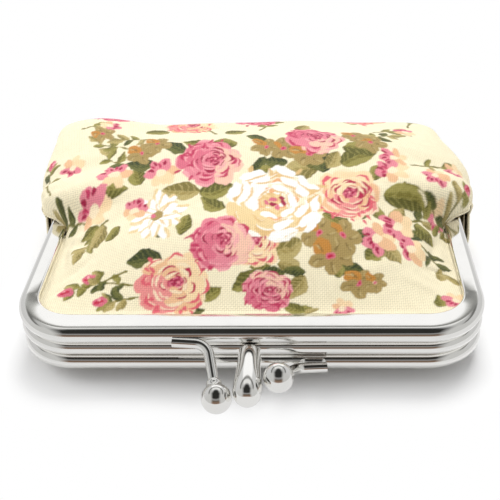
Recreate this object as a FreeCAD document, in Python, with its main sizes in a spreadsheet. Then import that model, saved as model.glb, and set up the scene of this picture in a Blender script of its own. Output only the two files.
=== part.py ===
import FreeCAD, Part
import Sketcher
import math
import os
from types import SimpleNamespace

# Coin purse with two compartments, closed and lying on its back panel.
# X runs across the purse, Y from the clasp to the far seam, Z up. Millimetres.
# The origin lies on the resting plane, below the middle of the purse's outline. The pieces are drawn
# about the hinge line, and each is then placed by its distance from that origin.

V = FreeCAD.Vector
doc = FreeCAD.newDocument("CoinPurse")
sheet = doc.addObject("Spreadsheet::Sheet", "Sizes")

SIZES = [
    # the three channel bars
    ("frame_width", 100.0, "outside width of a bar"),
    ("frame_depth", 48.0, "hinge line to the outside of the front run"),
    ("corner_radius", 13.0, "outside radius of a bar's corners"),
    ("bar_height", 3.7, "height of one channel"),
    ("bar_gap", 0.3, "free height between two bars"),
    ("bar_lift", 3.0, "height of the lowest bar above the table"),
    ("flange", 5.5, "depth of the channel, from its outside to its mouth"),
    ("sheet_wall", 0.6, "thickness of the folded sheet metal"),
    ("edge_radius", 1.4, "rounding of the channel's outside edges"),
    ("arm_end", 3.5, "distance of each arm's end from the hinge line"),
    # ears and rivets at the hinge
    ("ear_wall", 0.9, "thickness of an ear"),
    ("ear_gap", 0.12, "running gap between two ears"),
    ("ear_half", 2.1, "half width of an ear about the rivet"),
    ("ear_round", 1.8, "rounding of an ear's corners"),
    ("ear_root", 3.6, "length of an ear inside its channel"),
    ("ear_inset", 2.8, "middle of the ear stack, in from the outside of the bars"),
    ("rivet_radius", 0.8, "radius of a rivet's shank"),
    ("rivet_clear", 0.07, "radial clearance of a rivet in its ears"),
    ("rivet_head", 1.6, "radius of a rivet's head"),
    ("rivet_crown", 0.7, "height of a rivet's head"),
    # ball clasp
    ("ball_radius", 3.05, "radius of each ball"),
    ("post_end", 2.95, "radius of the post's thick end"),
    ("post_neck", 2.3, "radius of the post just in front of the bar"),
    ("post_length", 15.4, "length of the post in front of the bar"),
    ("snap_clear", 0.1, "free width between a ball and the post as they pass"),
    ("clasp_aside", 0.45, "middle of the clasp, right of the middle of the bars"),
    ("front_ball_out", 12.6, "front ball's centre in front of the bars"),
    ("front_ball_drop", 1.65, "front ball's centre below the hinge line"),
    ("back_ball_out", 9.8, "back ball's centre in front of the bars"),
    ("back_ball_rise", 1.35, "back ball's centre above the hinge line"),
    ("rod_radius", 1.1, "radius of the clasp rods"),
    ("rod_bend", 3.4, "radius of a clasp rod's bend"),
    ("front_foot_from", 15.0, "far end of the front rod, left of the middle"),
    ("front_foot_to", 8.4, "bend of the front rod, left of the middle"),
    ("back_foot_from", 16.4, "square end of the back rod, right of the middle"),
    ("back_foot_to", 10.2, "bend of the back rod, right of the middle"),
    ("foot_wall", 0.9, "thickness of a rod's soldered foot"),
    ("foot_height", 1.8, "height of a rod's soldered foot"),
    ("collar_radius", 1.6, "radius of the collar behind a ball"),
    ("collar_length", 1.3, "length of the collar behind a ball"),
    # paper cord and cloth
    ("cord_wide", 1.7, "width of the paper cord, squashed in its channel"),
    ("cord_high", 1.5, "height of the paper cord, squashed in its channel"),
    ("cord_end", 9.0, "distance of the paper cord's ends from the hinge line"),
    ("cloth", 0.8, "thickness of the outer cloth with its backing"),
    ("lining", 0.4, "thickness of the lining"),
    ("lining_gap", 0.15, "free height between outer cloth and lining"),
    ("divider_wall", 1.2, "thickness of the doubled divider"),
    ("tuck", 2.6, "depth of cloth held inside a channel's mouth"),
    ("mouth_gap", 0.3, "free width between loose cloth and the bars"),
    ("bag_half", 55.5, "half width of the bag behind the hinge"),
    ("bag_far", 40.0, "hinge line to the far seam"),
    ("bag_top", 25.5, "height of the bag's front panel above the table"),
    ("bag_corner", 4.0, "rounding of the bag's far corners, seen from above"),
    ("fold_from", 16.0, "start of the loose cloth, in front of the hinge line"),
    ("fold_to", 12.5, "end of the loose cloth, behind the hinge line"),
    ("fold_gap", 0.3, "free length between loose cloth and its neighbours"),
    ("table_flat", 0.6, "how far the back panel would bulge below the table"),
    ("flap_top", 22.6, "height of the front panel where the loose cloth starts"),
]


class Size:
    """A number, with the sheet expression that gives it."""

    def __init__(self, value, text):
        self.value = value
        self.text = text

    def __add__(self, other):
        other = as_size(other)
        return Size(self.value + other.value, f"({self.text} + {other.text})")

    def __sub__(self, other):
        other = as_size(other)
        return Size(self.value - other.value, f"({self.text} - {other.text})")

    def __mul__(self, other):
        other = as_size(other)
        return Size(self.value * other.value, f"({self.text} * {other.text})")

    def __truediv__(self, other):
        other = as_size(other)
        return Size(self.value / other.value, f"({self.text} / {other.text})")

    def __neg__(self):
        return Size(-self.value, f"(0 - {self.text})")

    __radd__ = __add__
    __rmul__ = __mul__


def as_size(amount):
    if isinstance(amount, Size):
        return amount
    return Size(float(amount), f"{float(amount):.6f}")


P = SimpleNamespace()
for row, (alias, amount, meaning) in enumerate(SIZES, start=1):
    sheet.set(f"A{row}", alias)
    sheet.set(f"B{row}", str(amount))
    sheet.set(f"C{row}", meaning)
    sheet.setAlias(f"B{row}", alias)
    setattr(P, alias, Size(amount, f"Sizes.{alias}"))
doc.recompute()

# sizes that follow from the ones above
half_width = P.frame_width / 2
pitch = P.bar_height + P.bar_gap
back_level = P.bar_lift + P.bar_height / 2
hinge_level = back_level + pitch
front_level = hinge_level + pitch
mouth_half = half_width - P.flange
mouth_front = P.frame_depth - P.flange
mouth_corner = P.corner_radius - P.flange
ear_pitch = P.ear_wall + P.ear_gap
ear_middle = half_width - P.ear_inset
bore_radius = P.rivet_radius + P.rivet_clear
ball_side = P.ball_radius + P.post_end + P.snap_clear
hinge_behind = (P.frame_depth + P.front_ball_out + P.ball_radius - P.bag_far) / 2


def diagonal(first, second):
    return Size(math.hypot(first.value, second.value), f"sqrt({first.text}^2 + {second.text}^2)")


def bind(thing, path, amount):
    thing.setExpression(path, as_size(amount).text)


def new_body(label):
    body = doc.addObject("PartDesign::Body", label)
    body.Label = label
    bind(body, "Placement.Base.y", hinge_behind)
    return body


def new_piece(label, shape):
    """A sub-part with a free-form shape."""
    piece = doc.addObject("Part::Feature", label)
    piece.Label = label
    piece.Shape = shape
    bind(piece, "Placement.Base.y", hinge_behind)
    return piece


def new_sketch(body, name, role, offset=0.0):
    """A sketch on one of the body's own origin planes, moved along that plane's normal."""
    sketch = body.newObject("Sketcher::SketchObject", name)
    plane = [item for item in body.Origin.OriginFeatures if item.Role == role][0]
    sketch.AttachmentSupport = [(plane, "")]
    sketch.MapMode = "FlatFace"
    bind(sketch, "AttachmentOffset.Base.z", offset)
    return sketch


def fix(sketch, kind, geometry, position, amount):
    """Hold a point of the sketch at a distance from the sketch's origin."""
    amount = as_size(amount)
    index = sketch.addConstraint(Sketcher.Constraint(kind, -1, 1, geometry, position, amount.value))
    sketch.setExpression(f"Constraints[{index}]", amount.text)


def draw_outline(sketch, corners, closed=True):
    """Level and upright lines through corners (x, y, radius), with arcs where radius is set."""
    count = len(corners)
    points = [V(as_size(x).value, as_size(y).value, 0) for x, y, _ in corners]
    starts = list(points)
    ends = list(points)
    arcs = {}
    for i, (_, _, radius) in enumerate(corners):
        if radius is None:
            continue
        before = (points[i - 1] - points[i]).normalize()
        after = (points[(i + 1) % count] - points[i]).normalize()
        length = as_size(radius).value
        ends[i] = points[i] + before * length
        starts[i] = points[i] + after * length
        centre = points[i] + (before + after) * length
        middle = centre - (before + after).normalize() * length
        arc = Part.Arc(ends[i], middle, starts[i])
        arcs[i] = (sketch.addGeometry(arc, False), radius)
    sides = range(count) if closed else range(count - 1)
    lines = {}
    for i in sides:
        j = (i + 1) % count
        lines[i] = sketch.addGeometry(Part.LineSegment(starts[i], ends[j]), False)
        level = abs(points[i].y - points[j].y) < 1e-6
        sketch.addConstraint(Sketcher.Constraint("Horizontal" if level else "Vertical", lines[i]))
        if level:
            fix(sketch, "DistanceY", lines[i], 1, corners[i][1])
        else:
            fix(sketch, "DistanceX", lines[i], 1, corners[i][0])
    for i in range(count):
        into = lines.get((i - 1) % count) if closed or i > 0 else None
        out = lines.get(i)
        if into is None or out is None:
            loose, position = (out, 1) if into is None else (into, 2)
            other = points[1] if into is None else points[i - 1]
            upright = abs(other.x - points[i].x) < 1e-6
            kind = "DistanceY" if upright else "DistanceX"
            fix(sketch, kind, loose, position, corners[i][1 if upright else 0])
            continue
        if i not in arcs:
            sketch.addConstraint(Sketcher.Constraint("Coincident", into, 2, out, 1))
            continue
        arc, radius = arcs[i]
        first = 1 if (sketch.getPoint(arc, 1) - ends[i]).Length < 1e-6 else 2
        sketch.addConstraint(Sketcher.Constraint("Tangent", into, 2, arc, first))
        sketch.addConstraint(Sketcher.Constraint("Tangent", out, 1, arc, 3 - first))
        index = sketch.addConstraint(Sketcher.Constraint("Radius", arc, as_size(radius).value))
        sketch.setExpression(f"Constraints[{index}]", as_size(radius).text)


def draw_polygon(sketch, corners):
    """Straight lines round the corners (x, y)."""
    points = [V(as_size(x).value, as_size(y).value, 0) for x, y in corners]
    count = len(points)
    lines = []
    for start, end in zip(points, points[1:] + points[:1]):
        lines.append(sketch.addGeometry(Part.LineSegment(start, end), False))
    for i, line in enumerate(lines):
        sketch.addConstraint(Sketcher.Constraint("Coincident", line, 2, lines[(i + 1) % count], 1))
        fix(sketch, "DistanceX", line, 1, corners[i][0])
        fix(sketch, "DistanceY", line, 1, corners[i][1])


def draw_circle(sketch, x, y, radius):
    x = as_size(x)
    y = as_size(y)
    radius = as_size(radius)
    circle = sketch.addGeometry(Part.Circle(V(x.value, y.value, 0), V(0, 0, 1), radius.value), False)
    fix(sketch, "DistanceX", circle, 3, x)
    fix(sketch, "DistanceY", circle, 3, y)
    index = sketch.addConstraint(Sketcher.Constraint("Radius", circle, radius.value))
    sketch.setExpression(f"Constraints[{index}]", radius.text)


def pad(body, name, sketch, length):
    feature = body.newObject("PartDesign::Pad", name)
    feature.Profile = sketch
    bind(feature, "Length", length)
    return feature


# ---- the three bars: a channel open towards the purse, with a riveted ear at each arm's end ----


def u_band(body, name, level, outer_inset, inner_inset, end):
    """Closed plan between two insets from the bar's outside, with open arms that stop at end."""
    plan = new_sketch(body, name, "XY_Plane", level)
    outer = half_width - outer_inset
    inner = half_width - inner_inset
    outer_front = P.frame_depth - outer_inset
    inner_front = P.frame_depth - inner_inset
    draw_outline(plan, [
        (outer, -end, None),
        (outer, -outer_front, P.corner_radius - outer_inset),
        (-outer, -outer_front, P.corner_radius - outer_inset),
        (-outer, -end, None),
        (-inner, -end, None),
        (-inner, -inner_front, P.corner_radius - inner_inset),
        (inner, -inner_front, P.corner_radius - inner_inset),
        (inner, -end, None),
    ])
    return plan


def level_edges(shape, heights, inset):
    """Names of the level edges at the heights that follow the bar's outside at the inset."""
    side = (half_width - inset).value
    front = (P.frame_depth - inset).value
    corner = (P.corner_radius - inset).value
    names = []
    for number, edge in enumerate(shape.Edges, start=1):
        box = edge.BoundBox
        if box.ZLength > 1e-6 or min(abs(box.ZMin - height.value) for height in heights) > 1e-6:
            continue
        if hasattr(edge.Curve, "Radius"):
            follows = abs(edge.Curve.Radius - corner) < 1e-6
        else:
            on_side = box.XLength < 1e-6 and abs(abs(box.XMin) - side) < 1e-6
            on_front = box.YLength < 1e-6 and abs(box.YMin + front) < 1e-6
            follows = on_side or on_front
        if follows:
            names.append(f"Edge{number}")
    return names


def make_bar(label, level, ear_place, reach):
    """reach is 1 where the ear turns down to the hinge line, -1 where it turns up, 0 where it lies on it."""
    body = new_body(label)
    low = level - P.bar_height / 2
    high = level + P.bar_height / 2
    plan = u_band(body, label + "_plan", low, 0.0, P.flange, P.arm_end)
    band = pad(body, label + "_band", plan, P.bar_height)
    doc.recompute()
    flat = P.edge_radius * (2 - math.sqrt(2))
    corner = body.newObject("PartDesign::Chamfer", label + "_corner")
    corner.Base = (band, level_edges(band.Shape, (low, high), 0.0))
    bind(corner, "Size", flat)
    doc.recompute()
    rolled = body.newObject("PartDesign::Chamfer", label + "_rolled_edge")
    upper = level_edges(corner.Shape, (low, high), flat)
    lower = level_edges(corner.Shape, (low + flat, high - flat), 0.0)
    rolled.Base = (corner, upper + lower)
    bind(rolled, "Size", flat * 0.36)
    room = P.flange + P.sheet_wall
    channel = body.newObject("PartDesign::Pocket", label + "_channel")
    channel.Profile = u_band(
        body, label + "_channel_plan", high - P.sheet_wall, P.sheet_wall, room, P.arm_end - P.sheet_wall)
    bind(channel, "Length", P.bar_height - P.sheet_wall * 2)
    doc.recompute()
    crease = body.newObject("PartDesign::Chamfer", label + "_crease")
    inner_levels = (low + P.sheet_wall, high - P.sheet_wall)
    crease.Base = (channel, level_edges(channel.Shape, inner_levels, P.sheet_wall))
    bind(crease, "Size", (P.edge_radius - P.sheet_wall) * 0.6)
    ear = new_sketch(body, label + "_ear_outline", "YZ_Plane", ear_place - P.ear_wall / 2)
    root = -(P.arm_end + P.ear_root)
    grip = P.sheet_wall / 2
    if reach:
        near = level - reach * (P.bar_height / 2 - grip)
        far = level + reach * (P.bar_height / 2 - grip)
        tip = hinge_level - reach * P.ear_half
        draw_outline(ear, [
            (root, far, None),
            (P.ear_half, far, P.ear_round),
            (P.ear_half, tip, P.ear_round),
            (-P.ear_half, tip, P.ear_round),
            (-P.ear_half, near, None),
            (root, near, None),
        ])
    else:
        far = level + (P.bar_height / 2 - grip)
        near = level - (P.bar_height / 2 - grip)
        draw_outline(ear, [
            (root, far, None),
            (P.ear_half, far, P.ear_round * 0.8),
            (P.ear_half, near, P.ear_round * 0.8),
            (root, near, None),
        ])
    draw_circle(ear, 0.0, hinge_level, bore_radius if reach else P.rivet_radius)
    ear_pad = pad(body, label + "_ear", ear, P.ear_wall)
    doc.recompute()
    mirror = body.newObject("PartDesign::Mirrored", label + "_other_ear")
    mirror.Originals = [ear_pad]
    plane = [item for item in body.Origin.OriginFeatures if item.Role == "YZ_Plane"][0]
    mirror.MirrorPlane = (plane, [""])
    body.Tip = mirror
    return body


front_frame = make_bar("front_frame", front_level, ear_middle + ear_pitch, 1)
middle_frame = make_bar("middle_frame", hinge_level, ear_middle, 0)
back_frame = make_bar("back_frame", back_level, ear_middle - ear_pitch, -1)


# ---- one rivet through the three ears on each side, upset into a head at both ends ----


def make_rivet(label, side):
    body = new_body(label)
    profile = new_sketch(body, label + "_profile", "XY_Plane", hinge_level)
    inner = (ear_middle - ear_pitch - P.ear_wall / 2 - P.ear_gap / 2) * side
    outer = (ear_middle + ear_pitch + P.ear_wall / 2 + P.ear_gap / 2) * side
    crown = P.rivet_crown * side
    shoulder = P.rivet_head * 0.6
    draw_polygon(profile, [
        (inner - crown, 0.0),
        (inner - crown, shoulder),
        (inner, P.rivet_head),
        (inner, P.rivet_radius),
        (outer, P.rivet_radius),
        (outer, P.rivet_head),
        (outer + crown, shoulder),
        (outer + crown, 0.0),
    ])
    turn = body.newObject("PartDesign::Revolution", label + "_turned")
    turn.Profile = profile
    turn.ReferenceAxis = (profile, ["H_Axis"])
    turn.Angle = 360.0
    return body


make_rivet("hinge_rivet_right", 1)
make_rivet("hinge_rivet_left", -1)


# ---- paper cord that jams the cloth in each channel ----


def make_cord(label, level):
    body = new_body(label)
    inset = P.sheet_wall
    plan = u_band(
        body, label + "_plan", level - P.cord_high / 2, inset, inset + P.cord_wide, P.cord_end)
    pad(body, label + "_jammed", plan, P.cord_high)
    doc.recompute()


make_cord("front_paper_cord", front_level)
make_cord("middle_paper_cord", hinge_level)
make_cord("back_paper_cord", back_level)


# ---- the post of the middle bar: turned, thickest near its blunt, coned end ----

post_body = new_body("middle_clasp_post")
post_profile = new_sketch(post_body, "post_profile", "XY_Plane", hinge_level)
bar_front = -P.frame_depth
tip = bar_front - P.post_length
draw_polygon(post_profile, [
    (P.clasp_aside, bar_front),
    (P.clasp_aside + P.post_neck, bar_front),
    (P.clasp_aside + P.post_neck, bar_front - P.post_length * 0.44),
    (P.clasp_aside + P.post_end, bar_front - P.post_length * 0.68),
    (P.clasp_aside + P.post_end, bar_front - P.post_length * 0.87),
    (P.clasp_aside + P.post_end * 0.6, tip),
    (P.clasp_aside, tip),
])
post_axis = post_profile.addGeometry(
    Part.LineSegment(V(P.clasp_aside.value, bar_front.value, 0), V(P.clasp_aside.value, tip.value, 0)), True)
for end, level in ((1, bar_front), (2, tip)):
    fix(post_profile, "DistanceX", post_axis, end, P.clasp_aside)
    fix(post_profile, "DistanceY", post_axis, end, level)
post = post_body.newObject("PartDesign::Revolution", "post_turned")
post.Profile = post_profile
post.ReferenceAxis = (post_profile, ["Axis0"])
post.Angle = 360.0
doc.recompute()


# ---- bent rods with a soldered foot, and the balls on them ----


def facet(corners):
    """Flat faces over three or four corners."""
    corners = [point for i, point in enumerate(corners) if (point - corners[i - 1]).Length > 1e-6]
    if len(corners) < 3:
        return []
    normal = (corners[1] - corners[0]).cross(corners[2] - corners[0])
    if len(corners) == 4 and abs(normal.dot(corners[3] - corners[0])) > 1e-7:
        return facet(corners[:3]) + facet([corners[0], corners[2], corners[3]])
    return [Part.Face(Part.makePolygon(corners + corners[:1]))]


def closed_solid(faces):
    """Solid inside faces that close on each other."""
    shell = Part.makeShell(faces)
    shell.sewShape()
    solid = Part.makeSolid(shell)
    if solid.Volume < 0:
        solid.reverse()
    return solid.removeSplitter()


def rod_wire(points, bend):
    """Straight runs through the points, joined by tangent arcs of the bend's radius."""
    edges = []
    start = points[0]
    for before, corner, after in zip(points, points[1:], points[2:]):
        back = (before - corner).normalize()
        ahead = (after - corner).normalize()
        half = back.getAngle(ahead) / 2
        reach = bend / math.tan(half)
        middle = corner + (back + ahead).normalize() * (bend / math.sin(half) - bend)
        edges.append(Part.LineSegment(start, corner + back * reach).toShape())
        edges.append(Part.Arc(corner + back * reach, middle, corner + ahead * reach).toShape())
        start = corner + ahead * reach
    edges.append(Part.LineSegment(start, points[-1]).toShape())
    return Part.Wire(edges)


def round_section(centre, axis, radius, sides=10):
    """A round, drawn as an even polygon square to the axis."""
    turn = FreeCAD.Rotation(V(0, 0, 1), axis)
    points = []
    for step in range(sides + 1):
        angle = math.radians(360 * step / sides)
        points.append(centre + turn.multVec(V(math.cos(angle), math.sin(angle), 0) * radius))
    return Part.makePolygon(points)


def ball_solid(centre, heading, steps=7, sides=16):
    """Ball with the collar behind it, as flat faces about the rod's heading."""
    radius = P.ball_radius.value
    collar = P.collar_radius.value
    seat = -radius * math.cos(math.asin(collar / radius))
    back = seat - P.collar_length.value
    profile = [(0.0, back), (collar * 0.8, back), (collar, seat)]
    first = 180 * (1 - math.asin(collar / radius) / math.pi)
    for step in range(1, steps):
        angle = math.radians(first * (1 - step / steps))
        profile.append((radius * math.sin(angle), radius * math.cos(angle)))
    profile.append((0.0, radius))
    turn = FreeCAD.Rotation(V(0, 0, 1), heading)
    rings = []
    for out, along in profile:
        angles = [math.radians(360 * (side % sides) / sides) for side in range(sides + 1)]
        ring = [V(out * math.cos(angle), out * math.sin(angle), along) for angle in angles]
        rings.append([centre + turn.multVec(point) for point in ring])
    faces = []
    for near, far in zip(rings, rings[1:]):
        for side in range(sides):
            faces += facet([near[side], near[side + 1], far[side + 1], far[side]])
    return closed_solid(faces)


def make_rod_and_ball(name, points, foot_level):
    """The rod follows the points and ends inside the ball; its foot lies flat on the bar."""
    wire = rod_wire(points, P.rod_bend.value)
    section = round_section(points[0], points[1] - points[0], P.rod_radius.value)
    rod = wire.makePipeShell([section], True, True)
    foot_length = abs(points[1].x - points[0].x) - P.rod_bend.value * 0.5
    foot_left = points[0].x if points[1].x > points[0].x else points[0].x - foot_length
    depth = -P.frame_depth.value - points[0].y
    foot = Part.makeBox(
        foot_length, depth, P.foot_height.value,
        V(foot_left, points[0].y, foot_level - P.foot_height.value / 2))
    upright = [edge for edge in foot.Edges if abs(edge.tangentAt(edge.FirstParameter).z) > 0.9]
    foot = foot.makeChamfer(min(P.foot_height.value, depth) * 0.3, upright)
    new_piece(name + "_arm", rod.fuse(foot).removeSplitter())
    ball = ball_solid(points[-1], points[-1] - points[-2])
    new_piece(name + "_ball", ball.cut(rod))


front_face = -P.frame_depth.value
front_run = front_face - P.rod_radius.value
front_rod_level = front_level.value - P.bar_height.value * 0.12
front_side_of_post = (P.clasp_aside - ball_side).value
make_rod_and_ball("front_clasp", [
    V(-P.front_foot_from.value, front_run, front_rod_level),
    V(-P.front_foot_to.value, front_run - 0.5, front_rod_level),
    V(front_side_of_post, front_face - P.front_ball_out.value, hinge_level.value - P.front_ball_drop.value),
], front_rod_level)

back_side_of_post = (P.clasp_aside + ball_side).value
back_run = front_face - P.foot_wall.value - P.rod_radius.value * 0.9
back_rod_level = back_level.value + P.bar_height.value * 0.1
make_rod_and_ball("back_clasp", [
    V(P.back_foot_from.value, back_run, back_rod_level),
    V(P.back_foot_to.value, back_run, back_rod_level),
    V(back_side_of_post, front_face - P.back_ball_out.value, hinge_level.value + P.back_ball_rise.value),
], back_rod_level)


# ---- divider: doubled cloth, held in the middle bar and sewn into the bag's side and far seams ----

divider = new_body("divider")
divider_plan = new_sketch(divider, "divider_plan", "XY_Plane", hinge_level - P.divider_wall / 2)
held_half = mouth_half + P.tuck
held_front = mouth_front + P.tuck
held_corner = mouth_corner + P.tuck
loose_half = mouth_half - P.mouth_gap
ear_swing = diagonal(P.ear_half, pitch + P.bar_height / 2)
loose_start = ear_swing + P.mouth_gap
draw_outline(divider_plan, [
    (held_half, -held_front, held_corner),
    (held_half, -P.cord_end, None),
    (loose_half, -P.cord_end, None),
    (loose_half, loose_start, None),
    (P.bag_half, loose_start, None),
    (P.bag_half, P.bag_far, P.bag_corner),
    (-P.bag_half, P.bag_far, P.bag_corner),
    (-P.bag_half, loose_start, None),
    (-loose_half, loose_start, None),
    (-loose_half, -P.cord_end, None),
    (-held_half, -P.cord_end, None),
    (-held_half, -held_front, held_corner),
])
pad(divider, "divider_cloth", divider_plan, P.divider_wall)
doc.recompute()


# ---- panels and linings: faceted cloth between the bars' mouths and the seams ----

N = SimpleNamespace(**{name: size.value for name, size in vars(P).items()})
seam_front = hinge_level.value + N.divider_wall / 2
seam_back = hinge_level.value - N.divider_wall / 2


def power(amount, exponent):
    return math.copysign(abs(amount) ** exponent, amount)


def smooth(amount):
    amount = max(0.0, min(1.0, amount))
    return amount * amount * (3 - 2 * amount)


def between(amount, stops):
    """Piecewise smooth value at amount, through (place, value) stops."""
    for (start, low), (end, high) in zip(stops, stops[1:]):
        if amount <= end:
            return low + (high - low) * smooth((amount - start) / (end - start))
    return stops[-1][1]


def even_points(points, count):
    """The open polygon through points, divided into equal lengths."""
    lengths = [0.0]
    for start, end in zip(points, points[1:]):
        lengths.append(lengths[-1] + math.dist(start, end))
    result = []
    piece = 0
    for step in range(count):
        place = lengths[-1] * step / (count - 1)
        while piece < len(points) - 2 and lengths[piece + 1] < place:
            piece += 1
        share = (place - lengths[piece]) / (lengths[piece + 1] - lengths[piece])
        share = max(0.0, min(1.0, share))
        start, end = points[piece], points[piece + 1]
        result.append(tuple(low + (high - low) * share for low, high in zip(start, end)))
    return result


def arch(half, crest, exponent, count, first=-90):
    """Evenly spaced points (across, up) on a squared arch, from the angle first to 90 degrees."""
    dense = []
    for step in range(241):
        turn = math.radians(first + (90 - first) * step / 240)
        across = half * power(math.sin(turn), exponent)
        dense.append((across, crest * power(max(math.cos(turn), 0.0), exponent)))
    return even_points(dense, count)


def offset_curve(points, distance):
    """The curve moved to its left by the distance, square to itself."""
    moved = []
    last = len(points) - 1
    for i, (x, z) in enumerate(points):
        before = points[max(i - 1, 0)]
        after = points[min(i + 1, last)]
        share = distance / math.dist(before, after)
        moved.append((x - (after[1] - before[1]) * share, z + (after[0] - before[0]) * share))
    return moved


def swell(x, half):
    """Share of the full height that cloth held at both sides reaches at x."""
    return max(0.0, 1 - (abs(x) / half) ** 4) ** 1.3


class Side:
    """One outside panel: sign 1 for the front panel on top, -1 for the back panel below."""

    def __init__(self, sign, seam, level, outside, flap_outside, squareness):
        self.sign = sign
        self.seam = seam
        self.level = level
        self.outside = outside
        self.flap_outside = flap_outside
        self.squareness = squareness

    def rim(self, y):
        """Half width and height of the cloth's edge at y, round the arms and ears of the bars."""
        over = self.level + self.sign * (N.bar_height / 2 + N.mouth_gap + N.cloth / 2)
        seam = self.seam + self.sign * N.lining_gap
        rising, risen, crossing, crossed, ears, joined, end = self.stations
        layers = N.cloth + N.lining_gap + N.lining
        beside = half_width.value + layers + N.mouth_gap
        half = between(y, [
            (rising, loose_half.value - N.cloth / 2),
            (crossing, loose_half.value - N.cloth / 4),
            (crossed, beside),
            (ears, beside + (N.bag_half - beside) * 0.3),
            (end, N.bag_half),
        ])
        height = between(y, [(rising, self.level), (risen, over), (ears, over), (joined, seam)])
        return half, height

    @property
    def stations(self):
        """Distances behind the hinge line at which the cloth's edge changes its course."""
        free = N.fold_from - N.arm_end
        shares = (0.0, 0.28, 0.4, 0.76, 1.12)
        starts = [free * share - N.fold_from for share in shares]
        return starts + [(starts[-1] + N.fold_to) / 2, N.fold_to]

    def crest(self, y):
        """Height of the cloth's outside along the middle of the purse."""
        return between(y, [(-N.fold_from, self.flap_outside), (N.fold_to, self.outside)])

    def lying(self, x, y, z, depth):
        """The point, no lower than the table lets cloth at that depth lie."""
        return V(x, y, max(z, depth))

    def section(self, y, depth, columns=15):
        """Points of a section across the loose cloth, depth below its outside."""
        half, height = self.rim(y)
        crest = self.crest(y) - height
        held = 1 - smooth((y + N.fold_from) / (N.fold_from - N.arm_end))
        dense = []
        for step in range(241):
            turn = math.radians(-90 + 180 * step / 240)
            x = half * power(math.sin(turn), 2.0 / self.squareness)
            free = power(max(math.cos(turn), 0.0), 2.0 / self.squareness)
            dense.append((x, crest * (free + (swell(x, half) - free) * held)))
        inward = offset_curve(even_points(dense, 121), -self.sign * depth)
        return [self.lying(x, y, height + z, depth) for x, z in even_points(inward, columns)]

    def pouch_sections(self, depth, columns=13, rows=7):
        """Sections of the pouch, from its start at the loose cloth to the far seam."""
        length = N.bag_far - depth - N.fold_to
        crest = self.outside - self.sign * depth - self.seam
        sections = []
        for along, height in arch(length, crest, 0.5, rows, first=0):
            half = N.bag_half - depth - N.bag_corner * (1 - height / crest)
            row = arch(half, height, 2.0 / self.squareness, columns)
            sections.append([self.lying(x, N.fold_to + along, self.seam + z, depth) for x, z in row])
        return sections


def solid_between(outside, inside):
    """Closed solid between two matching cloth surfaces, each given as rows of points."""
    faces = []
    last_row = len(outside) - 1
    last_column = len(outside[0]) - 1
    for i in range(last_row):
        for j in range(last_column):
            for rows in (outside, inside):
                faces += facet([rows[i][j], rows[i][j + 1], rows[i + 1][j + 1], rows[i + 1][j]])
        for j in (0, last_column):
            faces += facet([outside[i][j], outside[i + 1][j], inside[i + 1][j], inside[i][j]])
    for j in range(last_column):
        for i in (0, last_row):
            faces += facet([outside[i][j], outside[i][j + 1], inside[i][j + 1], inside[i][j]])
    return closed_solid(faces)


def u_prism():
    """Upright prism of the plan that the bars hold cloth in."""
    front = -held_front.value
    side = held_half.value
    radius = held_corner.value
    rear = -N.fold_from
    turn = radius * (1 - math.sqrt(0.5))
    edges = [
        Part.LineSegment(V(side, rear, 0), V(side, front + radius, 0)),
        Part.Arc(V(side, front + radius, 0), V(side - turn, front + turn, 0), V(side - radius, front, 0)),
        Part.LineSegment(V(side - radius, front, 0), V(radius - side, front, 0)),
        Part.Arc(V(radius - side, front, 0), V(turn - side, front + turn, 0), V(-side, front + radius, 0)),
        Part.LineSegment(V(-side, front + radius, 0), V(-side, rear, 0)),
        Part.LineSegment(V(-side, rear, 0), V(side, rear, 0)),
    ]
    wire = Part.Wire([edge.toShape() for edge in edges])
    wire.translate(V(0, 0, -N.bag_top))
    return Part.Face(wire).extrude(V(0, 0, N.bag_top * 3))


def flap_solid(side, depth, wall, steps=5):
    """Cloth held all round by a bar: flat in the channel, then swelling towards the hinge."""
    mouth = loose_half.value
    rise = side.flap_outside - side.sign * N.cloth / 2 - side.level
    across = [mouth * math.sin(math.radians(90 * step / steps)) for step in range(-steps, steps + 1)]
    across = [-held_half.value - N.cloth] + across + [held_half.value + N.cloth]
    alongs = [(step / steps) ** 1.4 for step in range(steps + 1)]
    lengths = [-mouth_front.value + (mouth_front.value - N.fold_from) * along for along in alongs]
    outside = []
    inside = []
    for y, along in zip([-held_front.value - N.cloth] + lengths, [0.0] + alongs):
        lift = rise * math.sin(along * math.pi / 2) ** 1.3
        level = side.level + side.sign * (N.cloth / 2 - depth)
        row = [side.lying(x, y, level + lift * swell(x, mouth), depth) for x in across]
        outside.append(row)
        inside.append([point - V(0, 0, side.sign * wall) for point in row])
    return solid_between(outside, inside).common(u_prism())


def fold_solid(side, depth, wall):
    """Loose cloth from the flap to the pouch, which bends when a bar turns."""
    stations = side.stations
    stations[0] += N.fold_gap
    stations[-1] -= N.fold_gap
    outside = [side.section(y, depth) for y in stations]
    inside = [side.section(y, depth + wall) for y in stations]
    return solid_between(outside, inside)


def pouch_solid(side, depth, wall):
    return solid_between(side.pouch_sections(depth), side.pouch_sections(depth + wall))


front_side = Side(1, seam_front, front_level.value, N.bag_top, N.flap_top, 4.0)
back_side = Side(-1, seam_back, back_level.value, -N.table_flat, -N.table_flat, 5.0)
under = N.cloth + N.lining_gap
for name, side in (("front", front_side), ("back", back_side)):
    for layer, depth, wall in (("panel", 0.0, N.cloth), ("lining", under, N.lining)):
        new_piece(f"{name}_{layer}_flap", flap_solid(side, depth, wall))
        new_piece(f"{name}_{layer}_fold", fold_solid(side, depth, wall))
        new_piece(f"{name}_{layer}_pouch", pouch_solid(side, depth, wall))

doc.recompute()

# ---- check and write ----

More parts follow.
